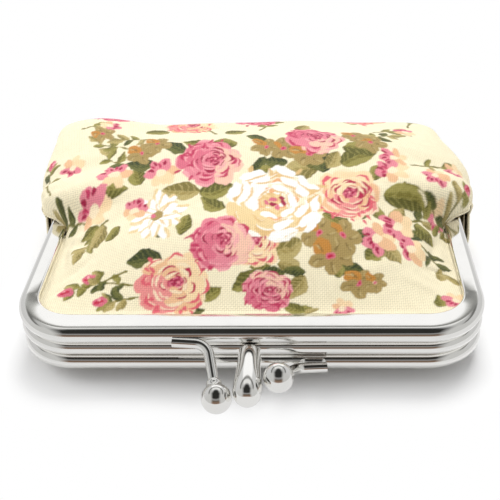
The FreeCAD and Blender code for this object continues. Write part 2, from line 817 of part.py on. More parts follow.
nodes = [thing for thing in doc.Objects if thing.TypeId in ("PartDesign::Body", "Part::Feature")]
for thing in doc.Objects:
    if "Invalid" in thing.State or "Error" in thing.State:
        raise RuntimeError(f"{thing.Label} failed: {thing.State}")
for node in nodes:
    shape = node.Shape
    if shape.isNull() or not shape.isValid() or len(shape.Solids) != 1 or shape.Volume <= 0:
        raise RuntimeError(f"{node.Label} has no valid solid")
os.makedirs("parts", exist_ok=True)
for node in nodes:
    node.Shape.exportStep(f"parts/{node.Label}.step")
    box = node.Shape.optimalBoundingBox(False)
    print(
        f"{node.Label:22s} volume {node.Shape.Volume:9.2f}",
        f"x {box.XMin:7.2f} {box.XMax:7.2f} y {box.YMin:7.2f} {box.YMax:7.2f}",
        f"z {box.ZMin:6.2f} {box.ZMax:6.2f}",
    )
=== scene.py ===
import math
from random import Random

import bmesh
import bpy
import numpy as np
from mathutils import Matrix, Vector


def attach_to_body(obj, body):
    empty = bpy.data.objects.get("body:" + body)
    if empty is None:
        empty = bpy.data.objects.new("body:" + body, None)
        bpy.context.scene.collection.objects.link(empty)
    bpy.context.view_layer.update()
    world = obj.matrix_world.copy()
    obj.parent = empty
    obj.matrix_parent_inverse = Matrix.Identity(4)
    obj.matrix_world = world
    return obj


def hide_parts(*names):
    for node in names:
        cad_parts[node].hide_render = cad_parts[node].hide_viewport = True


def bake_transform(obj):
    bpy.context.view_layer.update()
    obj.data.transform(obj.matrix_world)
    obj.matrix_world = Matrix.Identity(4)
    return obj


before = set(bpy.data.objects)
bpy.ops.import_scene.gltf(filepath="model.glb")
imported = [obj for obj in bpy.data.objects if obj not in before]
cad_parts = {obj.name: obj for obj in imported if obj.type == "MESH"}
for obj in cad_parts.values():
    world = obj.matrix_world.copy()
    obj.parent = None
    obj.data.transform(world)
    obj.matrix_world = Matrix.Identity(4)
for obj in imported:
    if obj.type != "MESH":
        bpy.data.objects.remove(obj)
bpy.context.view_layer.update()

# Coin purse with two compartments, closed and lying on its back panel. Lengths are millimetres about the
# hinge line; place() turns them into the model's metres.

HINGE_Y = 11.825
HINGE_Z = 8.85
BAR_HALF = 50.0
BAR_FRONT = 48.0
CORNER = 13.0
BAR_HEIGHT = 3.7
PITCH = 4.0
SIDE_FLANGE = 4.8
FRONT_FLANGE = 7.4
ARM_END = 3.5
EAR_MIDDLE = 47.2
EAR_STEP = 1.02
EAR_WALL = 0.9
FOLD_FROM = -16.0
FOLD_TO = 12.5
MOUTH_HALF = BAR_HALF - SIDE_FLANGE
MOUTH_FRONT = BAR_FRONT - FRONT_FLANGE
LEVELS = {"front": HINGE_Z + PITCH, "middle": HINGE_Z, "back": HINGE_Z - PITCH}
BODIES = {"front": "front_bar", "middle": "bag", "back": "back_bar"}
RIM_HALF = MOUTH_HALF - 0.25
HELD_HALF = MOUTH_HALF + 1.6
HELD_FRONT = MOUTH_FRONT + 1.6
HELD_CORNER = CORNER - 5.4 + 1.6
BAG_HALF = 55.5
BAG_FAR = 40.0
DIVIDER_HALF = 54.2
FAR_CORNER = 1.5
FLOOR_GAP = 0.05
FLAT_SCALE = 0.01
ROWS, COLUMNS = ((400, 470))


def place(x, y, z):
    return Vector((x, y + HINGE_Y, z)) * 0.001


def srgb(red, green, blue):
    values = np.array([red, green, blue]) / 255
    return np.where(values <= 0.04045, values / 12.92, ((values + 0.055) / 1.055) ** 2.4)


def smooth(amount):
    amount = np.clip(amount, 0.0, 1.0)
    return amount * amount * (3 - 2 * amount)


def between(amount, stops):
    for (start, low), (end, high) in zip(stops, stops[1:]):
        if amount <= end:
            return low + (high - low) * float(smooth((amount - start) / (end - start)))
    return stops[-1][1]


# ---- materials ----


class Nodes:
    """Short ways to build one node tree; an input takes a value or another node's output."""

    def __init__(self, tree):
        self.tree = tree

    def feed(self, node, inputs):
        for name, value in inputs.items():
            if isinstance(value, bpy.types.NodeSocket):
                self.tree.links.new(value, node.inputs[name])
            else:
                node.inputs[name].default_value = value

    def add(self, kind, inputs, output=0, **settings):
        """A new node with its settings and inputs; gives back one output, or the node if it has none."""
        node = self.tree.nodes.new(kind)
        for name, value in settings.items():
            setattr(node, name, value)
        self.feed(node, inputs)
        return node.outputs[output] if node.outputs else node

    def math(self, operation, *values):
        return self.add("ShaderNodeMath", dict(enumerate(values)), operation=operation)

    def mix(self, factor, first, second, blend="MIX"):
        return self.add("ShaderNodeMix", {0: factor, 6: first, 7: second}, 2, data_type="RGBA", blend_type=blend)

    def noise(self, vector, scale, detail):
        return self.add("ShaderNodeTexNoise", {"Vector": vector, "Scale": scale, "Detail": detail}, "Fac")

    def bump(self, height, strength, distance):
        return self.add("ShaderNodeBump", {"Height": height, "Strength": strength, "Distance": distance})

    def ramp(self, factor, *stops):
        """Colour ramp; each stop is its position and either one grey or red, green and blue."""
        colour = self.add("ShaderNodeValToRGB", {"Fac": factor}, "Color")
        elements = colour.node.color_ramp.elements
        while len(elements) < len(stops):
            elements.new(0.5)
        for element, (position, *shade) in zip(elements, stops):
            element.position = position
            element.color = (*(shade if len(shade) == 3 else shade * 3), 1.0)
        return colour


def new_material(name):
    material = bpy.data.materials.new(name)
    material.use_nodes = True
    return material, Nodes(material.node_tree), material.node_tree.nodes["Principled BSDF"]


def plain_weave(nodes, vector, pitch):
    """Height, 0 to 1, of a plain weave with threads pitch apart in the vector's units."""
    split = nodes.add("ShaderNodeSeparateXYZ", {0: vector}).node
    warp, weft = [
        nodes.math("SINE", nodes.math("MULTIPLY", split.outputs[axis], math.pi / pitch)) for axis in (0, 1)]
    over = nodes.math("GREATER_THAN", nodes.math("MULTIPLY", warp, weft), 0.0)
    warp_height = nodes.math("MULTIPLY", nodes.math("ABSOLUTE", warp), over)
    weft_height = nodes.math("MULTIPLY", nodes.math("ABSOLUTE", weft), nodes.math("SUBTRACT", 1.0, over))
    return nodes.math("ADD", warp_height, weft_height)


def cloth_material(name, colour, pitch, roughness, weave_shade):
    """Woven cotton of one colour, or with the painted print where colour is None; painted shade darkens it where the
    weave dips between the threads.
    """
    material, nodes, shader = new_material(name)
    flat = nodes.add("ShaderNodeUVMap", {}, uv_map="flat")
    weave = plain_weave(nodes, flat, pitch)
    if colour is None:
        base = nodes.add("ShaderNodeVertexColor", {}, "Color", layer_name="print")
    else:
        base = (*colour, 1.0)
    slubs = nodes.noise(flat, 55.0, 3.0)
    # Painted shade: the colour is darkened where the weave's height is low, between the threads.
    low = 1.0 - weave_shade
    thread_shade = nodes.ramp(weave, (0.0, low, low, low * 0.98), (0.75, 1.0))
    uneven = nodes.ramp(slubs, (0.3, 0.95, 0.945, 0.93), (0.7, 1.0))
    nodes.feed(shader, {
        "Base Color": nodes.mix(1.0, nodes.mix(1.0, base, thread_shade, "MULTIPLY"), uneven, "MULTIPLY"),
        "Roughness": nodes.add("ShaderNodeMapRange", {
            "Value": slubs, "To Min": roughness, "To Max": min(1.0, roughness + 0.12)}),
        "Normal": nodes.bump(weave, 0.55, 0.00012),
        "Sheen Weight": 0.12, "Sheen Roughness": 0.6, "Specular IOR Level": 0.25})
    return material


def metal_material(name, colour, roughness):
    """Plated metal, a little cloudy and worn."""
    material, nodes, shader = new_material(name)
    where = nodes.add("ShaderNodeTexCoord", {}, "Object")
    cloudy = nodes.noise(where, 420.0, 4.0)
    worn = nodes.noise(where, 90.0, 2.0)
    nodes.feed(shader, {
        "Base Color": nodes.ramp(worn, (0.35, *(colour * 0.965)), (0.65, *colour)),
        "Roughness": nodes.add("ShaderNodeMapRange", {
            "Value": cloudy, "From Min": 0.35, "From Max": 0.75, "To Min": roughness, "To Max": roughness + 0.05}),
        "Normal": nodes.bump(cloudy, 0.08, 0.00004),
        "Metallic": 1.0})
    return material


def cord_material():
    """Twisted kraft paper cord, with painted shade darkening the grooves of its twist."""
    material, nodes, shader = new_material("paper_cord")
    where = nodes.add("ShaderNodeTexCoord", {}, "Object")
    twist = nodes.add(
        "ShaderNodeTexWave", {"Scale": 260.0, "Distortion": 1.5, "Vector": where}, "Fac",
        wave_type="BANDS", bands_direction="DIAGONAL")
    # Painted shade: the colour follows the twist's bands and is darker in the grooves.
    nodes.feed(shader, {
        "Base Color": nodes.ramp(twist, (0.2, *srgb(176, 146, 104)), (0.8, *srgb(214, 188, 146))),
        "Roughness": 0.85,
        "Normal": nodes.bump(twist, 0.6, 0.0001)})
    return material


CREAM = srgb(250, 239, 206)
printed_cloth = cloth_material("printed_cotton", None, 0.0046, 0.72, 0.34)
lining_cloth = cloth_material("lining_cotton", srgb(236, 222, 190), 0.0042, 0.6, 0.10)
nickel = metal_material("bright_nickel", srgb(250, 249, 246), 0.07)
paper = cord_material()
for band in BODIES:
    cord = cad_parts[band + "_paper_cord"]
    cord.data.materials.clear()
    cord.data.materials.append(paper)


# ---- mesh helpers ----


def mesh_object(name, vertices, faces, material):
    mesh = bpy.data.meshes.new(name)
    mesh.from_pydata([tuple(place(*point)) for point in vertices], [], faces)
    mesh.validate()
    mesh.update()
    mesh.shade_smooth()
    piece = bpy.data.objects.new(name, mesh)
    bpy.context.scene.collection.objects.link(piece)
    mesh.materials.append(material)
    return piece


def closed_faces(rings, count):
    """Faces between rings of count points, and one face over each end."""
    faces = []
    for i in range(rings - 1):
        for j in range(count):
            k = (j + 1) % count
            faces.append((i * count + j, i * count + k, (i + 1) * count + k, (i + 1) * count + j))
    return faces + [tuple(range(count))[::-1], tuple((rings - 1) * count + j for j in range(count))]


def add_part(vertices, faces, more_vertices, more_faces):
    """Append a separate part's vertices and faces to a piece's lists."""
    start = len(vertices)
    vertices += more_vertices
    faces += [tuple(start + index for index in face) for face in more_faces]


def face_outwards(piece):
    mesh = bmesh.new()
    mesh.from_mesh(piece.data)
    bmesh.ops.recalc_face_normals(mesh, faces=mesh.faces)
    mesh.to_mesh(piece.data)
    mesh.free()


def sharpen(piece, degrees):
    piece.data.set_sharp_from_angle(angle=math.radians(degrees))


def plated(piece, body, node):
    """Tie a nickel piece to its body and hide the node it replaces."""
    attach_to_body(piece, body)
    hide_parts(node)


def lathe(name, profile, origin, heading, material, segments=72):
    """Turned piece: profile holds (distance along the heading, radius)."""
    turn = Vector((0, 0, 1)).rotation_difference(Vector(heading).normalized())
    vertices = []
    for along, radius in profile:
        for step in range(segments):
            angle = 2 * math.pi * step / segments
            point = turn @ Vector((radius * math.cos(angle), radius * math.sin(angle), along))
            vertices.append(tuple(Vector(origin) + point))
    piece = mesh_object(name, vertices, closed_faces(len(profile), segments), material)
    face_outwards(piece)
    return piece


def rounded(points, radius, steps=8):
    """The open polyline with each inner corner rounded."""
    result = [Vector(points[0])]
    for before, corner, after in zip(points, points[1:], points[2:]):
        before, corner, after = Vector(before), Vector(corner), Vector(after)
        back = (before - corner).normalized()
        ahead = (after - corner).normalized()
        half = back.angle(ahead) / 2
        reach = min(radius / math.tan(half), (before - corner).length * 0.49, (after - corner).length * 0.49)
        size = reach * math.tan(half)
        centre = corner + (back + ahead).normalized() * (size / math.sin(half))
        first = (corner + back * reach - centre).normalized()
        last = (corner + ahead * reach - centre).normalized()
        turn = first.angle(last)
        for step in range(steps + 1):
            share = turn * step / steps
            along = first * math.sin(turn - share) + last * math.sin(share)
            result.append(centre + along * (size / math.sin(turn)))
    result.append(Vector(points[-1]))
    return result


def tube(points, radius, sides=32):
    """Vertices and faces of a closed round tube through points."""
    vertices = []
    upward = Vector((0, 0, 1))
    for i, point in enumerate(points):
        before = points[max(i - 1, 0)]
        after = points[min(i + 1, len(points) - 1)]
        heading = (after - before).normalized()
        side = heading.cross(upward).normalized()
        up = side.cross(heading)
        for step in range(sides):
            angle = 2 * math.pi * step / sides
            offset = side * math.cos(angle) * radius + up * math.sin(angle) * radius
            vertices.append(tuple(point + offset))
    return vertices, closed_faces(len(points), sides)


# ---- bars ----


def arc_points(centre, radius, first, last, steps):
    points = []
    for step in range(steps + 1):
        angle = math.radians(first + (last - first) * step / steps)
        points.append((centre[0] + radius * math.cos(angle), centre[1] + radius * math.sin(angle)))
    return points


def bar_section(mouth, height, crown):
    """Closed section of a bar as (distance in from its outside, height about its level)."""
    high = height / 2
    wall = 0.55
    lip = mouth - 0.95
    upper = arc_points((high, 0.0), high, 180, 94, 22)
    for share in np.linspace(0.0, 1.0, 10)[1:]:
        depth = high + (lip - high) * share
        upper.append((float(depth), high - crown * share ** 2))
    upper += arc_points((lip, high - 0.66 - crown), 0.66, 74, -20, 8)
    inner = [
        (lip + 0.2, high - 0.95 - crown), (lip - 0.3, high - wall - 0.6), (high + 1.0, high - wall - 0.1)]
    inner += arc_points((high, 0.0), high - wall, 96, 180, 10)
    top = upper + inner
    return top + [(depth, -height) for depth, height in reversed(top[1:-1])]


def u_stations():
    """(point on the bar's outside, direction inwards, depth of the mouth) from one arm's end to the other's."""
    stations = []
    steps = 20
    for y in np.linspace(-ARM_END, -(BAR_FRONT - CORNER), 8)[:-1]:
        stations.append(((BAR_HALF, y), (-1.0, 0.0), SIDE_FLANGE))
    for step in range(steps + 1):
        angle = math.radians(-90 * step / steps)
        outward = (math.cos(angle), math.sin(angle))
        centre = (BAR_HALF - CORNER, -(BAR_FRONT - CORNER))
        point = (centre[0] + CORNER * outward[0], centre[1] + CORNER * outward[1])
        mouth = SIDE_FLANGE + (FRONT_FLANGE - SIDE_FLANGE) * float(smooth(step / steps))
        stations.append((point, (-outward[0], -outward[1]), mouth))
    for x in np.linspace(BAR_HALF - CORNER, 0.0, 6)[1:-1]:
        stations.append(((x, -BAR_FRONT), (0.0, 1.0), FRONT_FLANGE))
    mirrored = [((-point[0], point[1]), (-inward[0], inward[1]), mouth) for point, inward, mouth in stations]
    return stations + [((0.0, -BAR_FRONT), (0.0, 1.0), FRONT_FLANGE)] + mirrored[::-1]


def ear_outline(level, reach):
    """Rounded outline (y, z) of an ear; reach is 1 down to the hinge line, -1 up, 0 on it."""
    half = 2.1
    grip = BAR_HEIGHT / 2 - 0.3
    root = -(ARM_END + 3.6)
    if reach:
        near = level - reach * grip
        far = level + reach * grip
        tip = HINGE_Z - reach * half
        corners = [
            (root, far, 0), (half, far, 1.8), (half, tip, 1.8), (-half, tip, 1.8), (-half, near, 0), (root, near, 0)]
    else:
        near, far = level - grip, level + grip
        corners = [(root, far, 0), (half, far, 1.4), (half, near, 1.4), (root, near, 0)]
    outline = []
    for i, (y, z, radius) in enumerate(corners):
        corner = Vector((y, z))
        if not radius:
            outline.append(corner)
            continue
        before = (Vector(corners[i - 1][:2]) - corner).normalized()
        after = (Vector(corners[(i + 1) % len(corners)][:2]) - corner).normalized()
        centre = corner + (before + after) * radius
        for step in range(9):
            angle = math.pi / 2 * step / 8
            outline.append(centre - after * radius * math.cos(angle) - before * radius * math.sin(angle))
    return outline


def ear_plate(level, reach, middle):
    """Flat ear at x = middle, its edges slightly broken."""
    half = EAR_WALL / 2
    edge = 0.14
    outline = ear_outline(level, reach)
    centre = sum(outline, Vector((0, 0))) / len(outline)
    vertices = []
    for x, shrink in ((-half, edge), (-half + edge, 0.0), (half - edge, 0.0), (half, edge)):
        for point in outline:
            inward = (centre - point).normalized() * shrink
            vertices.append((middle + x, point.x + inward.x, point.y + inward.y))
    return vertices, closed_faces(4, len(outline))


# How far each bar's front run stands proud and hangs lower than its arms, and its height there.
FRONT_RUNS = {"front": (0.7, 0.55, BAR_HEIGHT), "middle": (0.0, 0.3, 3.3), "back": (0.05, 0.0, 3.6)}


def make_bar(band, reach, ear_middle):
    level = LEVELS[band]
    proud, drop, height = FRONT_RUNS[band]
    stations = u_stations()
    vertices = []
    for point, inward, mouth in stations:
        ahead = max(inward[1], 0.0)
        section = bar_section(mouth, BAR_HEIGHT + (height - BAR_HEIGHT) * ahead, 0.06 + 0.34 * ahead)
        for depth, up in section:
            x = point[0] + inward[0] * depth
            y = point[1] + inward[1] * depth - proud * ahead
            vertices.append((x, y, level + up - drop * ahead))
    faces = closed_faces(len(stations), len(section))
    for side in (1, -1):
        add_part(vertices, faces, *ear_plate(level, reach, ear_middle * side))
    piece = mesh_object(band + "_bar_bright", vertices, faces, nickel)
    face_outwards(piece)
    sharpen(piece, 38)
    plated(piece, BODIES[band], band + "_frame")


make_bar("front", 1, EAR_MIDDLE + EAR_STEP)
make_bar("middle", 0, EAR_MIDDLE)
make_bar("back", -1, EAR_MIDDLE - EAR_STEP)

RIVET_HEAD = [(0.7, 0.02), (0.68, 0.35), (0.58, 0.8), (0.36, 1.25), (0.12, 1.52), (0.0, 1.6)]
for side, word in ((1, "right"), (-1, "left")):
    inner = EAR_MIDDLE - EAR_STEP - EAR_WALL / 2 - 0.06
    outer = EAR_MIDDLE + EAR_STEP + EAR_WALL / 2 + 0.06
    profile = [(inner - rise, radius) for rise, radius in RIVET_HEAD]
    profile += [(inner, 0.8), (outer, 0.8)]
    profile += [(outer + rise, radius) for rise, radius in reversed(RIVET_HEAD)]
    rivet = lathe("rivet_" + word, profile, (0, 0, HINGE_Z), (side, 0, 0), nickel, 40)
    sharpen(rivet, 50)
    plated(rivet, "bag", "hinge_rivet_" + word)


# ---- clasp ----

ASIDE = 0.45
BALL_RADIUS = 3.05
BALL_SIDE = 6.1
ROD = 1.1
POST_PROFILE = [
    (0.0, 1.75), (0.2, 2.0), (0.55, 2.2), (1.2, 2.32), (3.2, 2.34), (5.0, 2.4), (6.6, 2.52), (8.0, 2.68),
    (9.4, 2.84), (10.8, 2.94), (11.9, 2.95), (12.9, 2.86), (13.7, 2.66), (14.3, 2.38), (14.8, 1.98),
    (15.15, 1.5), (15.36, 0.9), (15.4, 0.4),
]
SOLDER = ((0.0, 0.35), (0.25, 0.8), (0.8, 1.0), (4.2, 1.0), (5.0, 0.7), (5.5, 0.2))

post = lathe("clasp_post", POST_PROFILE, (ASIDE, -BAR_FRONT, HINGE_Z), (0, -1, 0), nickel)
plated(post, "bag", "middle_clasp_post")


def make_ball(name, centre, heading, body, node):
    """Ball with the collar and the neck where the rod enters it."""
    seat = math.asin(1.6 / BALL_RADIUS)
    profile = [(-4.2, 0.95), (-3.95, 1.3), (-3.6, 1.52), (-3.1, 1.62), (-2.65, 1.58)]
    for step in range(1, 41):
        angle = math.pi - seat - (math.pi - seat) * step / 41
        profile.append((BALL_RADIUS * math.cos(angle), BALL_RADIUS * math.sin(angle)))
    profile.append((BALL_RADIUS, 0.01))
    piece = lathe(name, profile, centre, heading, nickel)
    sharpen(piece, 60)
    plated(piece, body, node)


def make_rod(name, points, bend, bed, body, node):
    """Bent wire with a square-cut end, and the bed of solder between it and the bar."""
    vertices, faces = tube(rounded(points, bend, 16), ROD)
    low, high = bed
    count = 12
    solder = []
    for along, size in SOLDER:
        x = low[0] + (high[0] - low[0]) * along / 5.5
        for step in range(count):
            turn = 2 * math.pi * step / count
            y = high[1] + (low[1] - high[1]) * size * max(math.cos(turn), -0.1)
            z = (low[2] + high[2]) / 2 + (high[2] - low[2]) / 2 * size * math.sin(turn)
            solder.append((x, y, z))
    add_part(vertices, faces, solder, closed_faces(len(SOLDER), count))
    piece = mesh_object(name, vertices, faces, nickel)
    face_outwards(piece)
    sharpen(piece, 40)
    plated(piece, body, node)


# (bar, rod's level, x and reach before the bar of its foot and bend, ball's centre, bend's radius, bed's ends)
CLASPS = (
    ("front", LEVELS["front"] - BAR_HEIGHT * 0.26, (-15.2, 0.95), (-8.0, 1.6),
     (ASIDE - BALL_SIDE, -BAR_FRONT - 12.6, HINGE_Z - 1.65), 3.6, (-15.0, -9.2)),
    ("back", LEVELS["back"] + BAR_HEIGHT * 0.1, (16.4, 1.0), (10.2, 1.4),
     (ASIDE + BALL_SIDE, -BAR_FRONT - 9.8, HINGE_Z + 1.35), 2.6, (16.2, 10.6)),
)
for band, level, foot, knee, ball, bend, bed in CLASPS:
    knee = Vector((knee[0], -BAR_FRONT - knee[1], level))
    make_rod("clasp_rod_" + band, [(foot[0], -BAR_FRONT - foot[1], level), tuple(knee), ball], bend,
             ((bed[0], -BAR_FRONT - 0.7, level - 1.2), (bed[1], -BAR_FRONT + 0.2, level + 1.35)),
             BODIES[band], band + "_clasp_arm")
    make_ball("clasp_ball_" + band, ball, (Vector(ball) - knee).normalized(), BODIES[band], band + "_clasp_ball")


# ---- cloth forms ----


def askew(y):
    """How far the slack pouch lies left of the bars' middle, growing towards the far seam."""
    return -3.6 * float(smooth(y / 42.0))


def swell(x, half):
    return np.maximum(0.0, 1 - (np.abs(x) / half) ** 4) ** 1.3


def arch(half, squareness):
    """Places across and heights, 0 to 1, of the upper half of a squarish oval."""
    turn = np.radians(np.linspace(-90, 90, 401))
    x = half * np.sign(np.sin(turn)) * np.abs(np.sin(turn)) ** (2 / squareness)
    return x, np.maximum(np.cos(turn), 0.0) ** (2 / squareness)


def evenly(points, count):
    """A line resampled at even distances, and those distances."""
    lengths = np.concatenate([[0], np.cumsum(np.linalg.norm(np.diff(points, axis=0), axis=1))])
    even = np.linspace(0, lengths[-1], count)
    return np.stack([np.interp(even, lengths, points[:, k]) for k in range(2)], 1), even


class Panel:
    """One outside panel: sign 1 for the front panel on top, -1 for the back panel below."""

    fullness = 0.5

    def __init__(self, sign, level, outside, flap_outside, squareness):
        self.sign = sign
        self.level = level
        self.outside = outside
        self.flap_outside = flap_outside
        self.squareness = squareness
        self.seam = HINGE_Z + sign * 0.02

    def flap(self, y):
        """Cloth held by the bar all round."""
        half = HELD_HALF
        into = y + HELD_FRONT
        if into < HELD_CORNER:
            half = HELD_HALF - HELD_CORNER + math.sqrt(max(HELD_CORNER ** 2 - (HELD_CORNER - into) ** 2, 0.0))
        along = min(max((y + MOUTH_FRONT) / (MOUTH_FRONT + FOLD_FROM), 0.0), 1.0)
        rise = self.flap_outside - self.sign * 0.4 - self.level
        x = np.linspace(-half, half, 401)
        share = swell(x if half < RIM_HALF else np.clip(x, -RIM_HALF, RIM_HALF), RIM_HALF)
        z = self.level + self.sign * 0.4 + rise * math.sin(along * math.pi / 2) ** 1.15 * share
        return np.stack([x, z], 1)

    def fold(self, y):
        """Cloth that leaves the bar's arms near the hinge and widens over the ears."""
        inside = self.level + self.sign * 0.4
        over = self.level + self.sign * 2.7
        half = between(y, [(-9.5, RIM_HALF), (-3.0, 51.9), (2.5, 53.8), (FOLD_TO, BAG_HALF)])
        height = between(y, [(-9.5, inside), (-6.0, over), (-1.0, over), (6.0, self.seam)])
        tuck = between(y, [(-12.0, HELD_HALF - MOUTH_HALF + 0.25), (-9.5, 0.0)])
        crest = between(y, [(FOLD_FROM, self.flap_outside), (FOLD_TO, self.outside)]) - height
        held = 1 - float(smooth((y - FOLD_FROM) / (-ARM_END - FOLD_FROM)))
        x, free = arch(half, self.squareness)
        points = np.stack([x, height + crest * (free + (swell(x, half) - free) * held)], 1)
        if tuck > 0.01:
            points = np.concatenate([[[-half - tuck, height]], points, [[half + tuck, height]]])
        return points

    def pouch(self, y, share):
        """Free cloth behind the bars; share is how much of its full height it has here."""
        half = BAG_HALF - 2.6 * float(smooth((y - FOLD_TO) / 16.0)) - FAR_CORNER * (1 - share)
        x, rise = arch(half, self.squareness + 3.0 * float(smooth((y - FOLD_TO) / 20.0)))
        crest = (self.outside - self.seam) * share
        if self.sign > 0:
            sag = 2.6 * float(smooth((y - FOLD_TO) / 18.0)) * (1 - 0.9 * smooth((-x - 20) / 22))
            crest = crest - sag * share
        return np.stack([x, self.seam + crest * rise], 1)

    def row(self, q, count, depth):
        """Points across the panel: q is 0..1 in the bar, 1..2 over the hinge, 2..3 to the far seam."""
        if q < 1:
            y = -HELD_FRONT + (HELD_FRONT + FOLD_FROM) * q
            points = self.flap(y)
        elif q < 2:
            y = FOLD_FROM + (FOLD_TO - FOLD_FROM) * (q - 1)
            points = self.fold(y)
        else:
            angle = math.radians(90 * (q - 2))
            y = FOLD_TO + (BAG_FAR - depth - FOLD_TO) * math.sin(angle) ** self.fullness
            points = self.pouch(y, max(math.cos(angle), 0.0) ** self.fullness)
        points[:, 0] += askew(y)
        if depth:
            points, _ = evenly(points, 201)
            step = np.gradient(points, axis=0)
            step /= np.linalg.norm(step, axis=1)[:, None] + 1e-9
            inward = np.stack([step[:, 1], -step[:, 0]], 1) * self.sign
            slack = 1.6 * math.exp(-((y + 12.0) / 6.0) ** 2) * swell(points[:, 0] - askew(y), MOUTH_HALF - 2)
            points = points + inward * (depth * (1 + slack))[:, None]
        points, even = evenly(points, count)
        if self.sign < 0:
            points[:, 1] = np.maximum(points[:, 1], FLOOR_GAP + depth)
        return np.stack([points[:, 0], np.full(count, y), points[:, 1]], 1), even - even[-1] / 2

    def grid(self, rows, columns, depth=0.0):
        """Evenly spaced rows of points, and their flat places (across, along) on the cloth."""
        dense = np.linspace(0.0, 3.0, 1201)
        centre = np.array([self.row(q, 3, depth)[0][1] for q in dense])
        lengths = np.concatenate([[0], np.cumsum(np.linalg.norm(np.diff(centre, axis=0), axis=1))])
        points = []
        flat = []
        for length in np.linspace(0, lengths[-1], rows):
            row, across = self.row(float(np.interp(length, lengths, dense)), columns, depth)
            points.append(row)
            flat.append(np.stack([across, np.full(columns, length)], 1))
        return np.array(points), np.array(flat)


def normals_of(points, sign):
    along = np.gradient(points, axis=0)
    across = np.gradient(points, axis=1)
    normal = np.cross(across, along)
    normal /= np.linalg.norm(normal, axis=2)[..., None] + 1e-12
    return normal * sign


def fold_line(flat, start, end, width, height):
    """Soft ridge (or furrow, if height is negative) between two flat places, fading at both ends."""
    start = np.array(start, float)
    axis = np.array(end, float) - start
    length = np.linalg.norm(axis)
    axis /= length
    rel = flat - start
    along = rel @ axis / length
    side = rel @ np.array([-axis[1], axis[0]])
    fade = smooth(along / 0.35) * smooth((1 - along) / 0.5)
    return height * fade * np.exp(-(side / width) ** 2)


def add_folds(relief, flat, paired, single=()):
    """Fold lines (u, v, end's u, end's v, width, height): paired ones lie on both sides of the middle."""
    for side in (1, -1):
        for u, v, end_u, end_v, width, height in paired:
            relief += fold_line(flat, (side * u, v), (side * end_u, end_v), width, height)
    for u, v, end_u, end_v, width, height in single:
        relief += fold_line(flat, (u, v), (end_u, end_v), width, height)
    return relief


def front_relief(flat):
    """Folds and slack of the front panel, in millimetres out of its plain form."""
    u, v = flat[..., 0], flat[..., 1]
    relief = 0.25 * np.sin(u * 0.11 + 0.6) * np.sin(v * 0.09 + 0.4)
    relief += 0.12 * np.sin(u * 0.23 - v * 0.12 + 1.0)
    return add_folds(relief, flat, (
        (47, 26, 30, 33, 2.0, 0.8), (47, 29, 36, 22, 1.6, -0.7), (46, 4, 30, 14, 1.6, 0.45),
        (46, 10, 33, 20, 1.4, -0.4), (50, 40, 26, 44, 3.2, 0.7), (52, 48, 30, 54, 3.0, -0.6),
    ), (
        (12, 4, 40, 20, 2.2, 0.3), (-20, 60, 30, 66, 5.0, 0.5), (-47.5, 33, -42.5, 14, 1.1, -0.9),
        (-44.5, 32, -39.5, 14, 2.0, 0.8), (45.5, 31, 40, 16, 1.1, -0.9), (42.0, 31, 36.5, 17, 2.0, 0.8),
        (-46, 2, -42.6, 17, 0.8, -1.1), (-46.5, 4, -40.5, 10.6, 0.8, -1.1), (49.5, 15.2, 38.5, 16.0, 0.8, -1.1),
    ))


def back_relief(flat):
    """Folds of the back panel, likewise."""
    relief = 0.15 * np.sin(flat[..., 0] * 0.13 + 1.6) * np.sin(flat[..., 1] * 0.11 + 0.9)
    return add_folds(relief, flat, ((46, 24, 32, 30, 2.0, 0.5), (50, 36, 28, 42, 3.0, 0.4)))


def seam_pinch(points):
    """Pull the cloth in where the two panels are sewn together round the pouch."""
    near = np.clip(1 - np.abs(points[..., 2] - HINGE_Z) / 1.6, 0.0, 1.0) ** 2
    far = smooth((points[..., 1] - 5.0) / 8.0)
    pull = 0.9 * near * far
    points[..., 0] -= np.sign(points[..., 0]) * pull * np.clip(np.abs(points[..., 0]) / 40, 0, 1)
    points[..., 1] -= pull * smooth((points[..., 1] - 34.0) / 6.0)
    return points


def loose_share(points, flat):
    """1 on free cloth, 0 where a bar or a seam holds it."""
    held = smooth((flat[..., 1] - 2.0) / 9.0)
    rim = smooth((np.abs(flat[:, :1, 0]) - np.abs(flat[..., 0]) - 1.5) / 7.0)
    end = smooth((flat[-1, 0, 1] - flat[..., 1]) / 8.0)
    return held * rim * end


def paint_points(mesh, colours):
    """Store the print's colour at each point of a mesh."""
    attribute = mesh.color_attributes.new("print", "FLOAT_COLOR", "POINT")
    rgba = np.ones((len(mesh.vertices), 4), dtype=np.float32)
    rgba[:, :3] = colours
    attribute.data.foreach_set("color", rgba.ravel())


def flat_map(mesh, places):
    """UV layer with each point's place on the flat cloth."""
    layer = mesh.uv_layers.new(name="flat")
    loops = np.empty(len(mesh.loops), dtype=np.int32)
    mesh.loops.foreach_get("vertex_index", loops)
    layer.data.foreach_set("uv", (places[loops] * FLAT_SCALE).astype(np.float32).ravel())


def grid_mesh(name, points, flat, material):
    """Cloth as one sheet of quads."""
    rows, columns = points.shape[:2]
    vertices = (points + np.array([0, HINGE_Y, 0])) * 0.001
    index = np.arange(rows * columns).reshape(rows, columns)
    quads = np.stack([index[:-1, :-1], index[:-1, 1:], index[1:, 1:], index[1:, :-1]], -1).reshape(-1, 4)
    mesh = bpy.data.meshes.new(name)
    mesh.from_pydata(vertices.reshape(-1, 3).tolist(), [], quads.tolist())
    mesh.update()
    mesh.shade_smooth()
    flat_map(mesh, flat.reshape(-1, 2))
    piece = bpy.data.objects.new(name, mesh)
    bpy.context.scene.collection.objects.link(piece)
    mesh.materials.append(material)
    return piece


# ---- the printed flowers ----


